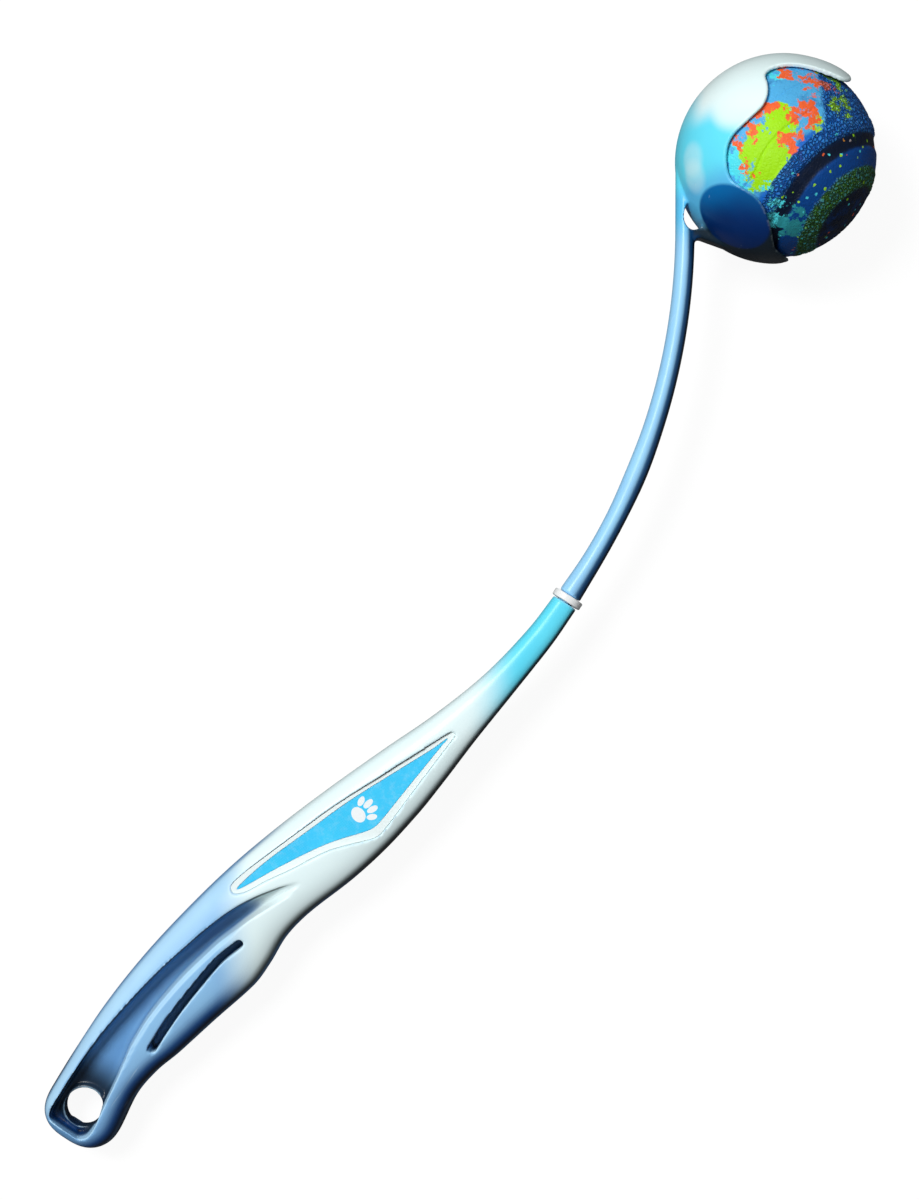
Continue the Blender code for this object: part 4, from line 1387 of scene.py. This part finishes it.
def cup_skin():
    """The open cup: outer wall up to the rim, round its edge, and inner wall back."""
    wall = sizes().cup_wall
    outer, inner = cup_radius(), cup_radius() - wall
    table = rim_table()
    last = 2 * CUP_RINGS + RIM_RINGS

    def place(u, v):
        step = round(v * last)
        if step <= CUP_RINGS:
            return cup_wall_point(table, u, step / CUP_RINGS, outer)
        if step >= CUP_RINGS + RIM_RINGS:
            return cup_wall_point(table, u, (last - step) / CUP_RINGS, inner)
        turn = math.pi * (step - CUP_RINGS) / RIM_RINGS
        middle = (outer + inner) / 2 + wall / 2 * math.cos(turn)
        return cup_wall_point(table, u, 1.0, middle, wall / 2 * math.sin(turn))

    return skin(CUP_COLUMNS, last, place)


def ball_space():
    """A ball that clears the shaft and the web out of the cup."""
    builder = bmesh.new()
    bmesh.ops.create_uvsphere(
        builder,
        u_segments=96,
        v_segments=48,
        radius=cup_radius() - sizes().cup_wall / 2,
    )
    return builder


def shaft_skin():
    """The tang, the shoulder at the collar and the shaft, up to the back of the cup."""
    size = sizes()
    plugged = size.joint_clearance + size.collar_length + size.tang_length
    ends = (shaft_lower_end() - Vector((0, plugged, 0)), shaft_lower_end())

    def place(u, v):
        step = round(v * (SHAFT_RINGS + 2))
        if step < 2:
            half_width, half_depth = size.tang_width / 2, size.tang_depth / 2
            return oval(ends[step], SIDEWAYS, half_width, half_depth, SHAFT_SQUARENESS, u)
        share = (step - 2) / SHAFT_RINGS
        centre, side = shaft_point(share)
        half_width = size.shaft_width * curve_value(SHAFT_WIDTH_SHARES, share) / 2
        return oval(centre, side, half_width, size.shaft_depth / 2, SHAFT_SQUARENESS, u)

    return skin(SHAFT_COLUMNS, SHAFT_RINGS + 2, place, closed_ends=True)


def gusset_skin():
    """The web that fills the corner between the shaft and the underside of the cup."""
    size = sizes()
    axis, up = opening_axis(), cup_up()
    edge = shaft_offset() - size.shaft_width / 2
    touching = (-axis * math.cos(size.gusset_touch) - up * math.sin(size.gusset_touch)) * cup_radius()
    corner = -axis * edge - up * size.gusset_drop
    down = -up * size.gusset_fillet
    along = (touching - corner).normalized() * size.gusset_fillet
    outline = [
        -axis * shaft_offset(),
        -axis * shaft_offset() - up * size.gusset_drop + down,
        corner + down,
        corner + (down + along) * 0.3,
        corner + along,
        touching,
        -up * size.ball_diameter / 4,
    ]
    builder = slab(outline, level(-size.gusset_depth / 2), level(size.gusset_depth / 2))
    long_edges = [
        edge
        for edge in builder.edges
        if abs(edge.verts[0].co.z - edge.verts[1].co.z) < size.gusset_round
    ]
    bevelled(builder, long_edges, size.gusset_round, 3)
    return builder


def relief_skin():
    """The teardrop hole between the shaft's back strip and the cup."""
    size = sizes()
    axis, up = opening_axis(), cup_up()
    behind = cup_radius() - size.relief_back_strip - size.relief_width / 2
    middle = -axis * behind - up * size.relief_drop
    outline = []
    for i in range(48):
        turn = 2 * math.pi * i / 48
        across = math.sin(turn) * (1 - 0.25 * math.cos(turn)) * size.relief_width / 2
        outline.append(middle + axis * across + up * math.cos(turn) * size.relief_length / 2)
    reach = size.shaft_depth / 2 + OVERRUN
    return slab(outline, level(-reach), level(reach))


def make_arm():
    """The arm: tang, shaft, web and cup in one moulding."""
    arm = piece_from(cup_skin(), "arm_moulding")
    for builder in (shaft_skin(), gusset_skin()):
        solid = piece_from(builder, "arm_solid")
        shaped_by(solid, ball_space(), "DIFFERENCE")
        shaped_by(solid, relief_skin(), "DIFFERENCE")
        settle(solid)
        combined(arm, solid, "UNION")
    mould(arm, 5)
    mark_ridges(arm)
    return arm


def arm_material():
    """Blue plastic that turns cyan and pale towards the top of the cup."""
    finish, tree, shader, local = new_material("arm_plastic")
    tone = colours()
    across, up, front = ball_frame()
    radius = cup_radius()
    height = vectors(tree, "DOT_PRODUCT", local, up)["Value"]
    drift = maths(tree, "SUBTRACT", noise_at(tree, local, 26.0, 2.0)["Fac"], 0.5)
    reach = maths(tree, "ADD", maths(tree, "DIVIDE", height, radius), product(tree, drift, 0.5))
    base = run_of_colour(tree, share_of(tree, reach, -1.6, 0.9), ARM_TONES)
    unit = vectors(tree, "NORMALIZE", local)["Vector"]
    distance = vectors(tree, "LENGTH", local)["Value"]
    on_cup = eased(tree, distance, radius * 1.03, radius * 1.12, 1.0, 0.0)

    def marked(under, place, start, end, strength, over):
        direction = (across * place[0] + up * place[1] + front * place[2]).normalized()
        mark = facing(tree, unit, direction, start, end)
        return laid_over(tree, under, over, mark, on_cup, strength)

    base = marked(base, (-0.91, 0.20, 0.0), 0.85, 0.98, 0.8, tone.cup_cyan)
    # Shade under the cup, above the web
    inner = facing(tree, local, across, radius * -0.91, radius * -0.84)
    below = facing(tree, local, -up, radius * 0.58, radius * 0.72)
    near = eased(tree, distance, radius * 1.25, radius * 1.35, 1.0, 0.0)
    base = laid_over(tree, base, tone.painted_shade, below, inner, near, 0.97)
    # The dark lobe's colours: partly the plastic's blue, partly painted shade, darkest at its foot
    lobe_tone = run_of_colour(tree, share_of(tree, reach, -1.0, -0.35), LOBE_TONES)
    # Painted highlights on both halves of the cup, then the dark lobe at each side
    for side in (1, -1):
        for a, b, rest, start, end, strength, name in CUP_PAINTED_HIGHLIGHTS:
            base = marked(base, (a, b, rest * side), start, end, strength, getattr(tone, name))
        base = marked(base, (-0.53, -0.70, 0.48 * side), 0.920, 0.936, 1.0, lobe_tone)
    # Painted shade at the finger's tip
    base = marked(base, (0.75, 0.66, 0.0), 0.955, 0.992, 0.8, tone.painted_shade)
    # Painted shade on the finger side of the shaft and the tang: deep blue, then near black
    right = (across * 0.97 + up * -0.25).normalized()
    normal, off_cup = outward(tree), inverse(tree, on_cup)
    for start, end, over in ((-0.12, 0.50, tone.shaft_painted_shade), (0.60, 0.95, tone.painted_shade)):
        edge = facing(tree, normal, right, start, end)
        base = laid_over(tree, base, over, edge, off_cup, 0.97)
    finish_plastic(tree, shader, local, base)
    return finish


# Handle


def end_rounding(length_share):
    """Share of the full section that is left near the rounded end."""
    inward = min(length_share * sizes().handle_length / sizes().end_round, 1)
    return (1 - (1 - inward) ** HANDLE_SQUARENESS) ** (1 / HANDLE_SQUARENESS)


def handle_skin():
    """The handle's outer form, before anything is cut from it."""
    end_share = sizes().end_round / sizes().handle_length
    last = HANDLE_END_RINGS + HANDLE_RINGS

    def place(u, v):
        step = round(v * last)
        if step < HANDLE_END_RINGS:
            part = step / HANDLE_END_RINGS
            turn = HANDLE_FIRST_TURN + (math.pi / 2 - HANDLE_FIRST_TURN) * part
            share = end_share * (1 - math.cos(turn))
        else:
            share = end_share + (1 - end_share) * (step - HANDLE_END_RINGS) / HANDLE_RINGS
        rounding = end_rounding(share)
        half_width = handle_width(share) / 2 * rounding
        half_depth = handle_half_depth(share) * rounding
        return oval(side_point(share, 0.5), SIDEWAYS, half_width, half_depth, HANDLE_SQUARENESS, u)

    return skin(HANDLE_COLUMNS, last, place, closed_ends=True)


def trough_floor(length_share):
    """Height of the trough's floor, which runs out to the surface at its upper end."""
    web = sizes().web_thickness / 2
    run_out = TROUGH_SHARES[-1][0] - TROUGH_RAMP_START_SHARE
    ramp = smooth_step((length_share - TROUGH_RAMP_START_SHARE) / run_out)
    return web + (handle_half_depth(length_share) - web) * ramp


def trough_profile(share):
    """Points across the trough at one place, from its back wall to the ledge on its front edge."""
    size = sizes()
    back = side_point(share, curve_value(TROUGH_SHARES, share, 1)).x
    front = side_point(share, curve_value(TROUGH_SHARES, share, 2)).x
    floor = trough_floor(share)
    surface = handle_half_depth(share)
    roof = surface + OVERRUN
    most = (front - back) * TROUGH_CORNER_SHARE
    draft, corner = min(size.trough_draft, most), min(size.trough_round, most)
    step_in = surface - size.ledge_depth
    fade = smooth_step((share - 0.10) / 0.06) * smooth_step((0.40 - share) / 0.05)
    ledge = size.ledge_width * fade
    low_step = max(floor + corner, step_in)
    return (
        (back, roof),
        (back + draft, floor + corner),
        (back + draft + corner * 0.3, floor + corner * 0.3),
        (back + draft + corner, floor),
        (front - draft - corner, floor),
        (front - draft - corner * 0.3, floor + corner * 0.3),
        (front - draft, floor + corner),
        (front, low_step),
        (front + ledge, low_step),
        (front + ledge, roof),
    )


def trough_skin(face):
    """The deep channel along the grip, on the front or the back face."""
    first, last = TROUGH_SHARES[0][0], TROUGH_SHARES[-1][0]
    places = [first + (last - first) * i / TROUGH_RINGS for i in range(TROUGH_RINGS + 1)]
    profiles = [trough_profile(place) for place in places]
    count = len(profiles[0])

    def place(u, v):
        x, z = profiles[round(v * TROUGH_RINGS)][round(u * count) % count]
        return Vector((x, handle_y(first + (last - first) * v), face * z))

    return skin(count, TROUGH_RINGS, place, closed_ends=True)


def slot_skin(face):
    """The narrow slot beside the trough, on the front or the back face."""
    size = sizes()
    radius = size.slot_width / 2
    rows = [(i, *shares) for i, shares in enumerate(SLOT_SHARES)]
    places = [i / SLOT_STEPS for i in range((len(rows) - 1) * SLOT_STEPS + 1)]
    middle = [side_point(curve_value(rows, at, 1), curve_value(rows, at, 2)) for at in places]
    left, right = [], []
    for i, point in enumerate(middle):
        along = (middle[min(i + 1, len(middle) - 1)] - middle[max(i - 1, 0)]).normalized()
        normal = Vector((-along.y, along.x, 0))
        left.append(point + normal * radius)
        right.append(point - normal * radius)

    def cap(end, before):
        along = (end - before).normalized()
        normal = Vector((-along.y, along.x, 0))
        turns = [math.pi * k / CAP_STEPS for k in range(1, CAP_STEPS)]
        return [end + (normal * math.cos(turn) + along * math.sin(turn)) * radius for turn in turns]

    outline = left + cap(middle[-1], middle[-2]) + right[::-1] + cap(middle[0], middle[1])
    floor, roof = size.web_thickness / 2, size.grip_depth / 2 + OVERRUN
    return slab(outline, level(face * floor), level(face * roof))


def round_bar(radius, half_depth, centre):
    """A round solid across the mid-plane."""
    builder = bmesh.new()
    bmesh.ops.create_cone(
        builder,
        cap_ends=True,
        segments=HOLE_SEGMENTS,
        radius1=radius,
        radius2=radius,
        depth=2 * half_depth,
        matrix=Matrix.Translation(centre),
    )
    return builder


def hang_lip_skin():
    """The raised lip round the hang hole, on both faces of the web."""
    size = sizes()
    radius = size.hang_hole / 2 + size.hang_lip_width
    lip = round_bar(radius, size.web_thickness / 2 + size.hang_lip_height, hang_hole_centre())
    rims = [edge for edge in lip.edges if edge.verts[0].co.z * edge.verts[1].co.z > 0]
    bevelled(lip, rims, size.hang_lip_width / 2, 4)
    return lip


def socket_skin():
    """The socket in the neck that holds the arm's tang."""
    size = sizes()
    half_width = size.tang_width / 2 + size.joint_clearance
    half_depth = size.tang_depth / 2 + size.joint_clearance
    top = handle_y(1) + OVERRUN
    bottom = handle_y(1) - size.tang_length

    def place(u, v):
        centre = Vector((neck_x(), bottom + (top - bottom) * v, 0))
        return oval(centre, SIDEWAYS, half_width, half_depth, SHAFT_SQUARENESS, u)

    return skin(SOCKET_COLUMNS, 2, place, closed_ends=True)


def make_handle():
    """The handle: grip, web, hang hole, label pocket and neck in one moulding."""
    size = sizes()
    handle = piece_from(handle_skin(), "handle_moulding")
    for face in (1, -1):
        shaped_by(handle, trough_skin(face), "DIFFERENCE")
        shaped_by(handle, slot_skin(face), "DIFFERENCE")
    shaped_by(handle, hang_lip_skin(), "UNION")
    hole = round_bar(size.hang_hole / 2, size.grip_depth, hang_hole_centre())
    shaped_by(handle, hole, "DIFFERENCE")
    pocket = slab(label_outline(), above_floor(0), above_floor(OVERRUN))
    shaped_by(handle, pocket, "DIFFERENCE")
    shaped_by(handle, socket_skin(), "DIFFERENCE")
    mould(handle, 6)
    mark_ridges(handle)
    return handle


def handle_material():
    """Plastic that runs from blue at the grip through a pale middle to a cyan neck."""
    finish, tree, shader, local = new_material("handle_plastic")
    tone = colours()
    normal, ridge = outward(tree), attribute_of(tree, "ridge")
    slope = vectors(tree, "DOT_PRODUCT", local, (1.3, 1.0, 0.0))["Value"]
    drift = maths(tree, "SUBTRACT", noise_at(tree, local, 30.0, 2.0)["Fac"], 0.5)
    place = maths(tree, "ADD", slope, product(tree, drift, 0.012))
    start, end = HANDLE_TONES[0][0], HANDLE_TONES[-1][0]
    stops = [((at - start) / (end - start), name) for at, name in HANDLE_TONES]
    base = run_of_colour(tree, share_of(tree, place, start, end), stops)
    # Painted highlight along the back of the grip, and painted shade on its finger side: deep blue,
    # then dark
    in_grip = inverse(tree, eased(tree, place, -0.342, -0.312))
    finger_side = Vector((0.96, -0.28, 0.0))
    light = facing(tree, normal, -finger_side, 0.10, 0.60)
    base = laid_over(tree, base, tone.grip_painted_highlight, light, in_grip, 0.8)
    blue = facing(tree, normal, finger_side, 0.20, 0.62)
    base = laid_over(tree, base, tone.grip_painted_shade, blue, in_grip, 0.95)
    dark = facing(tree, normal, finger_side, 0.52, 0.88)
    base = laid_over(tree, base, tone.painted_shade, dark, 0.95)
    # Painted shade on the trough's floors: a deeper blue stretch, a dark lower end by the hang hole,
    # and the stretch beyond it
    deep = eased(tree, maths(tree, "ABSOLUTE", part_of(tree, local, "Z")), 0.0065, 0.003)
    for low, high, strength, name in TROUGH_PAINTED_SHADES:
        floor = facing(tree, local, (0.0, -1.0, 0.0), low, high)
        base = laid_over(tree, base, getattr(tone, name), deep, floor, strength)
    # Painted shade in the corners and down the slot
    corner = eased(tree, product(tree, ridge, -1.0), 0.03, 0.16)
    base = laid_over(tree, base, tone.painted_shade, corner, 0.8)
    # Painted highlight along the convex edges
    lip = eased(tree, ridge, 0.06, 0.14)
    base = laid_over(tree, base, tone.grip_painted_highlight, lip, inverse(tree, dark), 0.6)
    finish_plastic(tree, shader, local, base)
    return finish


# Collar


def make_collar():
    """The ring that closes the joint between the neck and the shaft."""
    size = sizes()
    top = shaft_lower_end().y - size.joint_clearance
    bottom = top - size.collar_length
    hole = (size.tang_width / 2 + size.joint_clearance, size.tang_depth / 2 + size.joint_clearance)
    rim = (size.neck_width / 2 + size.collar_proud, size.neck_depth / 2 + size.collar_proud)
    bevel = size.collar_bevel
    steps = [(bottom, hole[0], hole[1]), (bottom, rim[0] - bevel, rim[1] - bevel)]
    for k in range(1, 6):
        turn = math.pi / 2 * k / 6
        out, down = bevel * math.sin(turn), bevel * (1 - math.cos(turn))
        steps.append((bottom + down, rim[0] - bevel + out, rim[1] - bevel + out))
    steps.append((bottom + bevel, *rim))
    steps += [(bottom + top - y, *halves) for y, *halves in reversed(steps)]

    def place(u, v):
        y, half_width, half_depth = steps[round(v * len(steps)) % len(steps)]
        centre = Vector((neck_x(), y, 0))
        return oval(centre, SIDEWAYS, half_width, half_depth, SHAFT_SQUARENESS, u)

    collar = piece_from(skin(COLLAR_COLUMNS, len(steps), place), "collar_ring")
    mark_ridges(collar, 1)
    return collar


def collar_material():
    """White plastic with a little grey in its grain."""
    finish, tree, shader, local = new_material("collar_plastic")
    tone = colours()
    grey = eased(tree, noise_at(tree, local, 160.0, 3.0)["Fac"], 0.4, 0.8, 0.0, 0.3)
    base = mixed(tree, grey, tone.collar, tone.collar_grain)
    finish_plastic(tree, shader, local, base, 0.42, wear=0.3, edge_start=0.2)
    return finish


# Label


def label_outline():
    """The pocket's outline on the handle's front."""
    return rounded([side_point(*shares) for shares in LABEL_SHARES])


def film_outline():
    """The film's outline inside the plate's."""
    return rounded([side_point(*shares) for shares in FILM_SHARES])


def label_floor(point):
    """Height of the pocket's floor, on one plane between the pocket's two tips."""
    shares = [row[0] for row in LABEL_SHARES]
    tips = (min(shares), max(shares))
    recess = sizes().label_recess
    low, high = (handle_half_depth(share) * LABEL_FLAT_SHARE - recess for share in tips)
    start, end = (handle_y(share) for share in tips)
    return low + (high - low) * (point.y - start) / (end - start)


def above_floor(height):
    """A height over the pocket's floor."""
    return lambda point: label_floor(point) + height


def edged(piece, width):
    """Bevels the sharp edges of a flat piece, and keeps its faces even."""
    bevel = piece.modifiers.new("Worn edges", "BEVEL")
    bevel.width = width
    bevel.segments = 3
    bevel.limit_method = "ANGLE"
    bevel.angle_limit = math.radians(40)
    bevel.use_clamp_overlap = True
    even = piece.modifiers.new("Even faces", "WEIGHTED_NORMAL")
    even.weight = 100
    settle(piece)
    mark_ridges(piece, 1)


def make_label_plate():
    """The bordered plate in its pocket, with a recess for the film."""
    size = sizes()
    face = size.joint_clearance + size.plate_thickness
    outline = drawn_in(label_outline(), size.label_fit)
    solid = slab(outline, above_floor(size.joint_clearance), above_floor(face))
    plate = piece_from(solid, "label_border")
    recess = drawn_in(film_outline(), -size.label_fit)
    floor = face - size.film_thickness - size.joint_clearance
    shaped_by(plate, slab(recess, above_floor(floor), above_floor(face + OVERRUN)), "DIFFERENCE")
    edged(plate, size.label_bevel)
    return plate


def make_label_film():
    """The coloured film in the plate's recess."""
    size = sizes()
    face = size.joint_clearance + size.plate_thickness
    solid = slab(film_outline(), above_floor(face - size.film_thickness), above_floor(face))
    film = piece_from(solid, "label_field")
    edged(film, size.label_bevel / 2)
    return film


def border_material():
    """Satin white plastic of the label's border."""
    finish, tree, shader, local = new_material("label_white")
    finish_plastic(tree, shader, local, colours().label_border, 0.38, 0.25, 0.3)
    return finish


def film_material():
    """Blue printed film with a plain white paw, a halftone fade and a thin gloss."""
    finish, tree, shader, local = new_material("label_blue")
    tone = colours()
    middle = side_point(PAW_LENGTH_SHARE, PAW_WIDTH_SHARE)
    along = side_point(0.70, 0.42) - side_point(0.50, 0.30)
    moved = vectors(tree, "SUBTRACT", local, middle)["Vector"]
    values = {"Vector": moved, "Rotation": (0.0, 0.0, -math.atan2(along.y, along.x))}
    turned = add(tree, "ShaderNodeMapping", values).outputs[0]
    paw = 0.0
    for x, y, half_length, half_width, lean in PAW_PADS:
        values = {
            "Vector": vectors(tree, "SUBTRACT", turned, (x, y, 0.0))["Vector"],
            "Rotation": (0.0, 0.0, -math.radians(lean)),
            "Scale": (1.0, 1.0, 0.0),
        }
        flat = add(tree, "ShaderNodeMapping", values).outputs[0]
        shares = vectors(tree, "MULTIPLY", flat, (1 / half_length, 1 / half_width, 0.0))["Vector"]
        pad = eased(tree, vectors(tree, "LENGTH", shares)["Value"], 1.03, 0.97)
        paw = maths(tree, "MAXIMUM", paw, pad)
    dots = cells_at(tree, turned, 1500.0, randomness=0.0)["Distance"]
    dot_size = eased(tree, part_of(tree, turned, "X"), -0.05, 0.045, 0.50, 0.10)
    inked = maths(tree, "LESS_THAN", dots, dot_size)
    base = laid_over(tree, tone.label_field, tone.cup_lobe, inked, 0.10)
    base = mixed(tree, paw, base, tone.label_mark)
    finish_plastic(tree, shader, local, base, 0.30, 0.15, 0.25, wear=0.4)
    shader.inputs["Coat Weight"].default_value = FILM_COAT
    return finish


# Stage


def make_floor():
    """A floor that touches the ball and the end of the grip, and that the camera sees as white."""
    stage = bpy.context.scene.thrower_stage
    builder = bmesh.new()
    bmesh.ops.create_grid(builder, x_segments=8, y_segments=8, size=stage.floor_size)
    bmesh.ops.rotate(
        builder,
        verts=builder.verts,
        cent=Vector((0, 0, 0)),
        matrix=Matrix.Rotation(-stage.floor_tilt, 3, "X"),
    )
    normal = Vector((0, math.sin(stage.floor_tilt), math.cos(stage.floor_tilt)))
    bmesh.ops.translate(builder, verts=builder.verts, vec=-normal * sizes().ball_diameter / 2)
    floor = piece_from(builder, "floor")
    finish = bpy.data.materials.new("floor_paper")
    finish.use_nodes = True
    tree = finish.node_tree
    shader = tree.nodes["Principled BSDF"]
    fill(tree, shader, {"Base Color": (*stage.floor, 1), **FLOOR_SHADER})
    seen = add(tree, "ShaderNodeLightPath").outputs["Is Camera Ray"]
    values = {"Color": (1, 1, 1, 1), "Strength": product(tree, seen, stage.floor_glow)}
    glow = add(tree, "ShaderNodeEmission", values).outputs[0]
    lit = add(tree, "ShaderNodeAddShader", {0: shader.outputs[0], 1: glow}).outputs[0]
    tree.links.new(lit, tree.nodes["Material Output"].inputs["Surface"])
    floor.data.materials.append(finish)


def make_world():
    """Even light from all round, which the camera sees as white."""
    world = bpy.data.worlds.new("studio")
    bpy.context.scene.world = world
    world.use_nodes = True
    tree = world.node_tree
    tree.nodes.clear()
    seen = add(tree, "ShaderNodeLightPath").outputs["Is Camera Ray"]
    sky = bpy.context.scene.thrower_stage.sky_strength
    strength = add(tree, "ShaderNodeMapRange", {"Value": seen, "To Min": sky, "To Max": 1.0})
    values = {"Color": (1, 1, 1, 1), "Strength": strength.outputs["Result"]}
    background = add(tree, "ShaderNodeBackground", values).outputs[0]
    add(tree, "ShaderNodeOutputWorld", {"Surface": background})


def make_lamp(name, offset, target, size, power):
    """A square lamp, set across, up and out from a point, and aimed at it."""
    across, up, front = ball_frame()
    place = target + across * offset[0] + up * offset[1] + front * offset[2]
    data = bpy.data.lights.new(name, "AREA")
    data.shape = "SQUARE"
    data.size = size
    data.energy = power
    lamp = bpy.data.objects.new(name, data)
    lamp.location = place
    lamp.rotation_euler = (target - place).to_track_quat("-Z", "Y").to_euler()
    bpy.context.scene.collection.objects.link(lamp)


def make_camera():
    """The camera, square to the mid-plane. Gives the point that it looks at."""
    stage = bpy.context.scene.thrower_stage
    data = bpy.data.cameras.new("camera")
    data.sensor_width = 36
    data.lens = stage.camera_lens
    data.clip_start = 0.01
    data.clip_end = 20
    camera = bpy.data.objects.new("camera", data)
    across, up, front = ball_frame()
    place = ball_place() - across * stage.camera_aside - up * stage.camera_below
    camera.location = place + front * stage.camera_height
    camera.rotation_euler = (0, 0, sizes().opening_tilt)
    bpy.context.scene.collection.objects.link(camera)
    bpy.context.scene.camera = camera
    return place


# Operators


class THROWER_OT_make_ball(bpy.types.Operator):
    """Make the marbled rubber ball"""

    bl_idname = "thrower.make_ball"
    bl_label = "Make Ball"

    def execute(self, context):
        shells = ("ball_shell_front", "ball_shell_back")
        finish_piece(make_ball(), rubber_material(), "ball", "ball_rubber", *shells)
        return {"FINISHED"}


class THROWER_OT_make_arm(bpy.types.Operator):
    """Make the arm with its cup"""

    bl_idname = "thrower.make_arm"
    bl_label = "Make Arm"

    def execute(self, context):
        finish_piece(make_arm(), arm_material(), "thrower", "arm_plastic", "arm")
        return {"FINISHED"}


class THROWER_OT_make_handle(bpy.types.Operator):
    """Make the handle"""

    bl_idname = "thrower.make_handle"
    bl_label = "Make Handle"

    def execute(self, context):
        finish_piece(make_handle(), handle_material(), "thrower", "handle_plastic", "handle")
        return {"FINISHED"}


class THROWER_OT_make_collar(bpy.types.Operator):
    """Make the ring at the joint"""

    bl_idname = "thrower.make_collar"
    bl_label = "Make Collar"

    def execute(self, context):
        finish_piece(make_collar(), collar_material(), "thrower", "collar_plastic", "collar")
        return {"FINISHED"}


class THROWER_OT_make_label(bpy.types.Operator):
    """Make the label's plate and film"""

    bl_idname = "thrower.make_label"
    bl_label = "Make Label"

    def execute(self, context):
        finish_piece(make_label_plate(), border_material(), "thrower", "label_white", "label_plate")
        finish_piece(make_label_film(), film_material(), "thrower", "label_blue", "label_film")
        return {"FINISHED"}


class THROWER_OT_make_stage(bpy.types.Operator):
    """Make the floor, the lamps and the camera"""

    bl_idname = "thrower.make_stage"
    bl_label = "Make Stage"

    def execute(self, context):
        stage = context.scene.thrower_stage
        target = make_camera()
        make_floor()
        make_world()
        make_lamp("key_lamp", KEY_PLACE, target, KEY_SIZE, stage.key_power)
        make_lamp("fill_lamp", FILL_PLACE, target, FILL_SIZE, stage.fill_power)
        context.scene.view_settings.view_transform = "Standard"
        return {"FINISHED"}


OPERATORS = (
    THROWER_OT_make_ball,
    THROWER_OT_make_arm,
    THROWER_OT_make_handle,
    THROWER_OT_make_collar,
    THROWER_OT_make_label,
    THROWER_OT_make_stage,
)
SETTINGS = {
    "thrower_sizes": ThrowerSizes,
    "thrower_colours": ThrowerColours,
    "thrower_stage": ThrowerStage,
}


class THROWER_PT_panel(bpy.types.Panel):
    """Lists the pieces and their settings"""

    bl_idname = "THROWER_PT_panel"
    bl_label = "Ball Thrower"
    bl_space_type = "VIEW_3D"
    bl_region_type = "UI"
    bl_category = "Thrower"

    def draw(self, context):
        column = self.layout.column(align=True)
        for operator in OPERATORS:
            column.operator(operator.bl_idname)
        for name, kind in SETTINGS.items():
            box = self.layout.box()
            box.label(text=kind.bl_rna.description or name)
            for setting in kind.__annotations__:
                box.prop(getattr(context.scene, name), setting)


CLASSES = (*SETTINGS.values(), *OPERATORS, THROWER_PT_panel)


def register():
    for made in CLASSES:
        bpy.utils.register_class(made)
    for name, kind in SETTINGS.items():
        setattr(bpy.types.Scene, name, bpy.props.PointerProperty(type=kind))


def unregister():
    for name in SETTINGS:
        delattr(bpy.types.Scene, name)
    for made in reversed(CLASSES):
        bpy.utils.unregister_class(made)


def main():
    register()
    bpy.ops.thrower.make_ball()
    bpy.ops.thrower.make_arm()
    bpy.ops.thrower.make_handle()
    bpy.ops.thrower.make_collar()
    bpy.ops.thrower.make_label()
    bpy.ops.thrower.make_stage()
    bpy.context.view_layer.update()


if __name__ == "__main__":
    main()
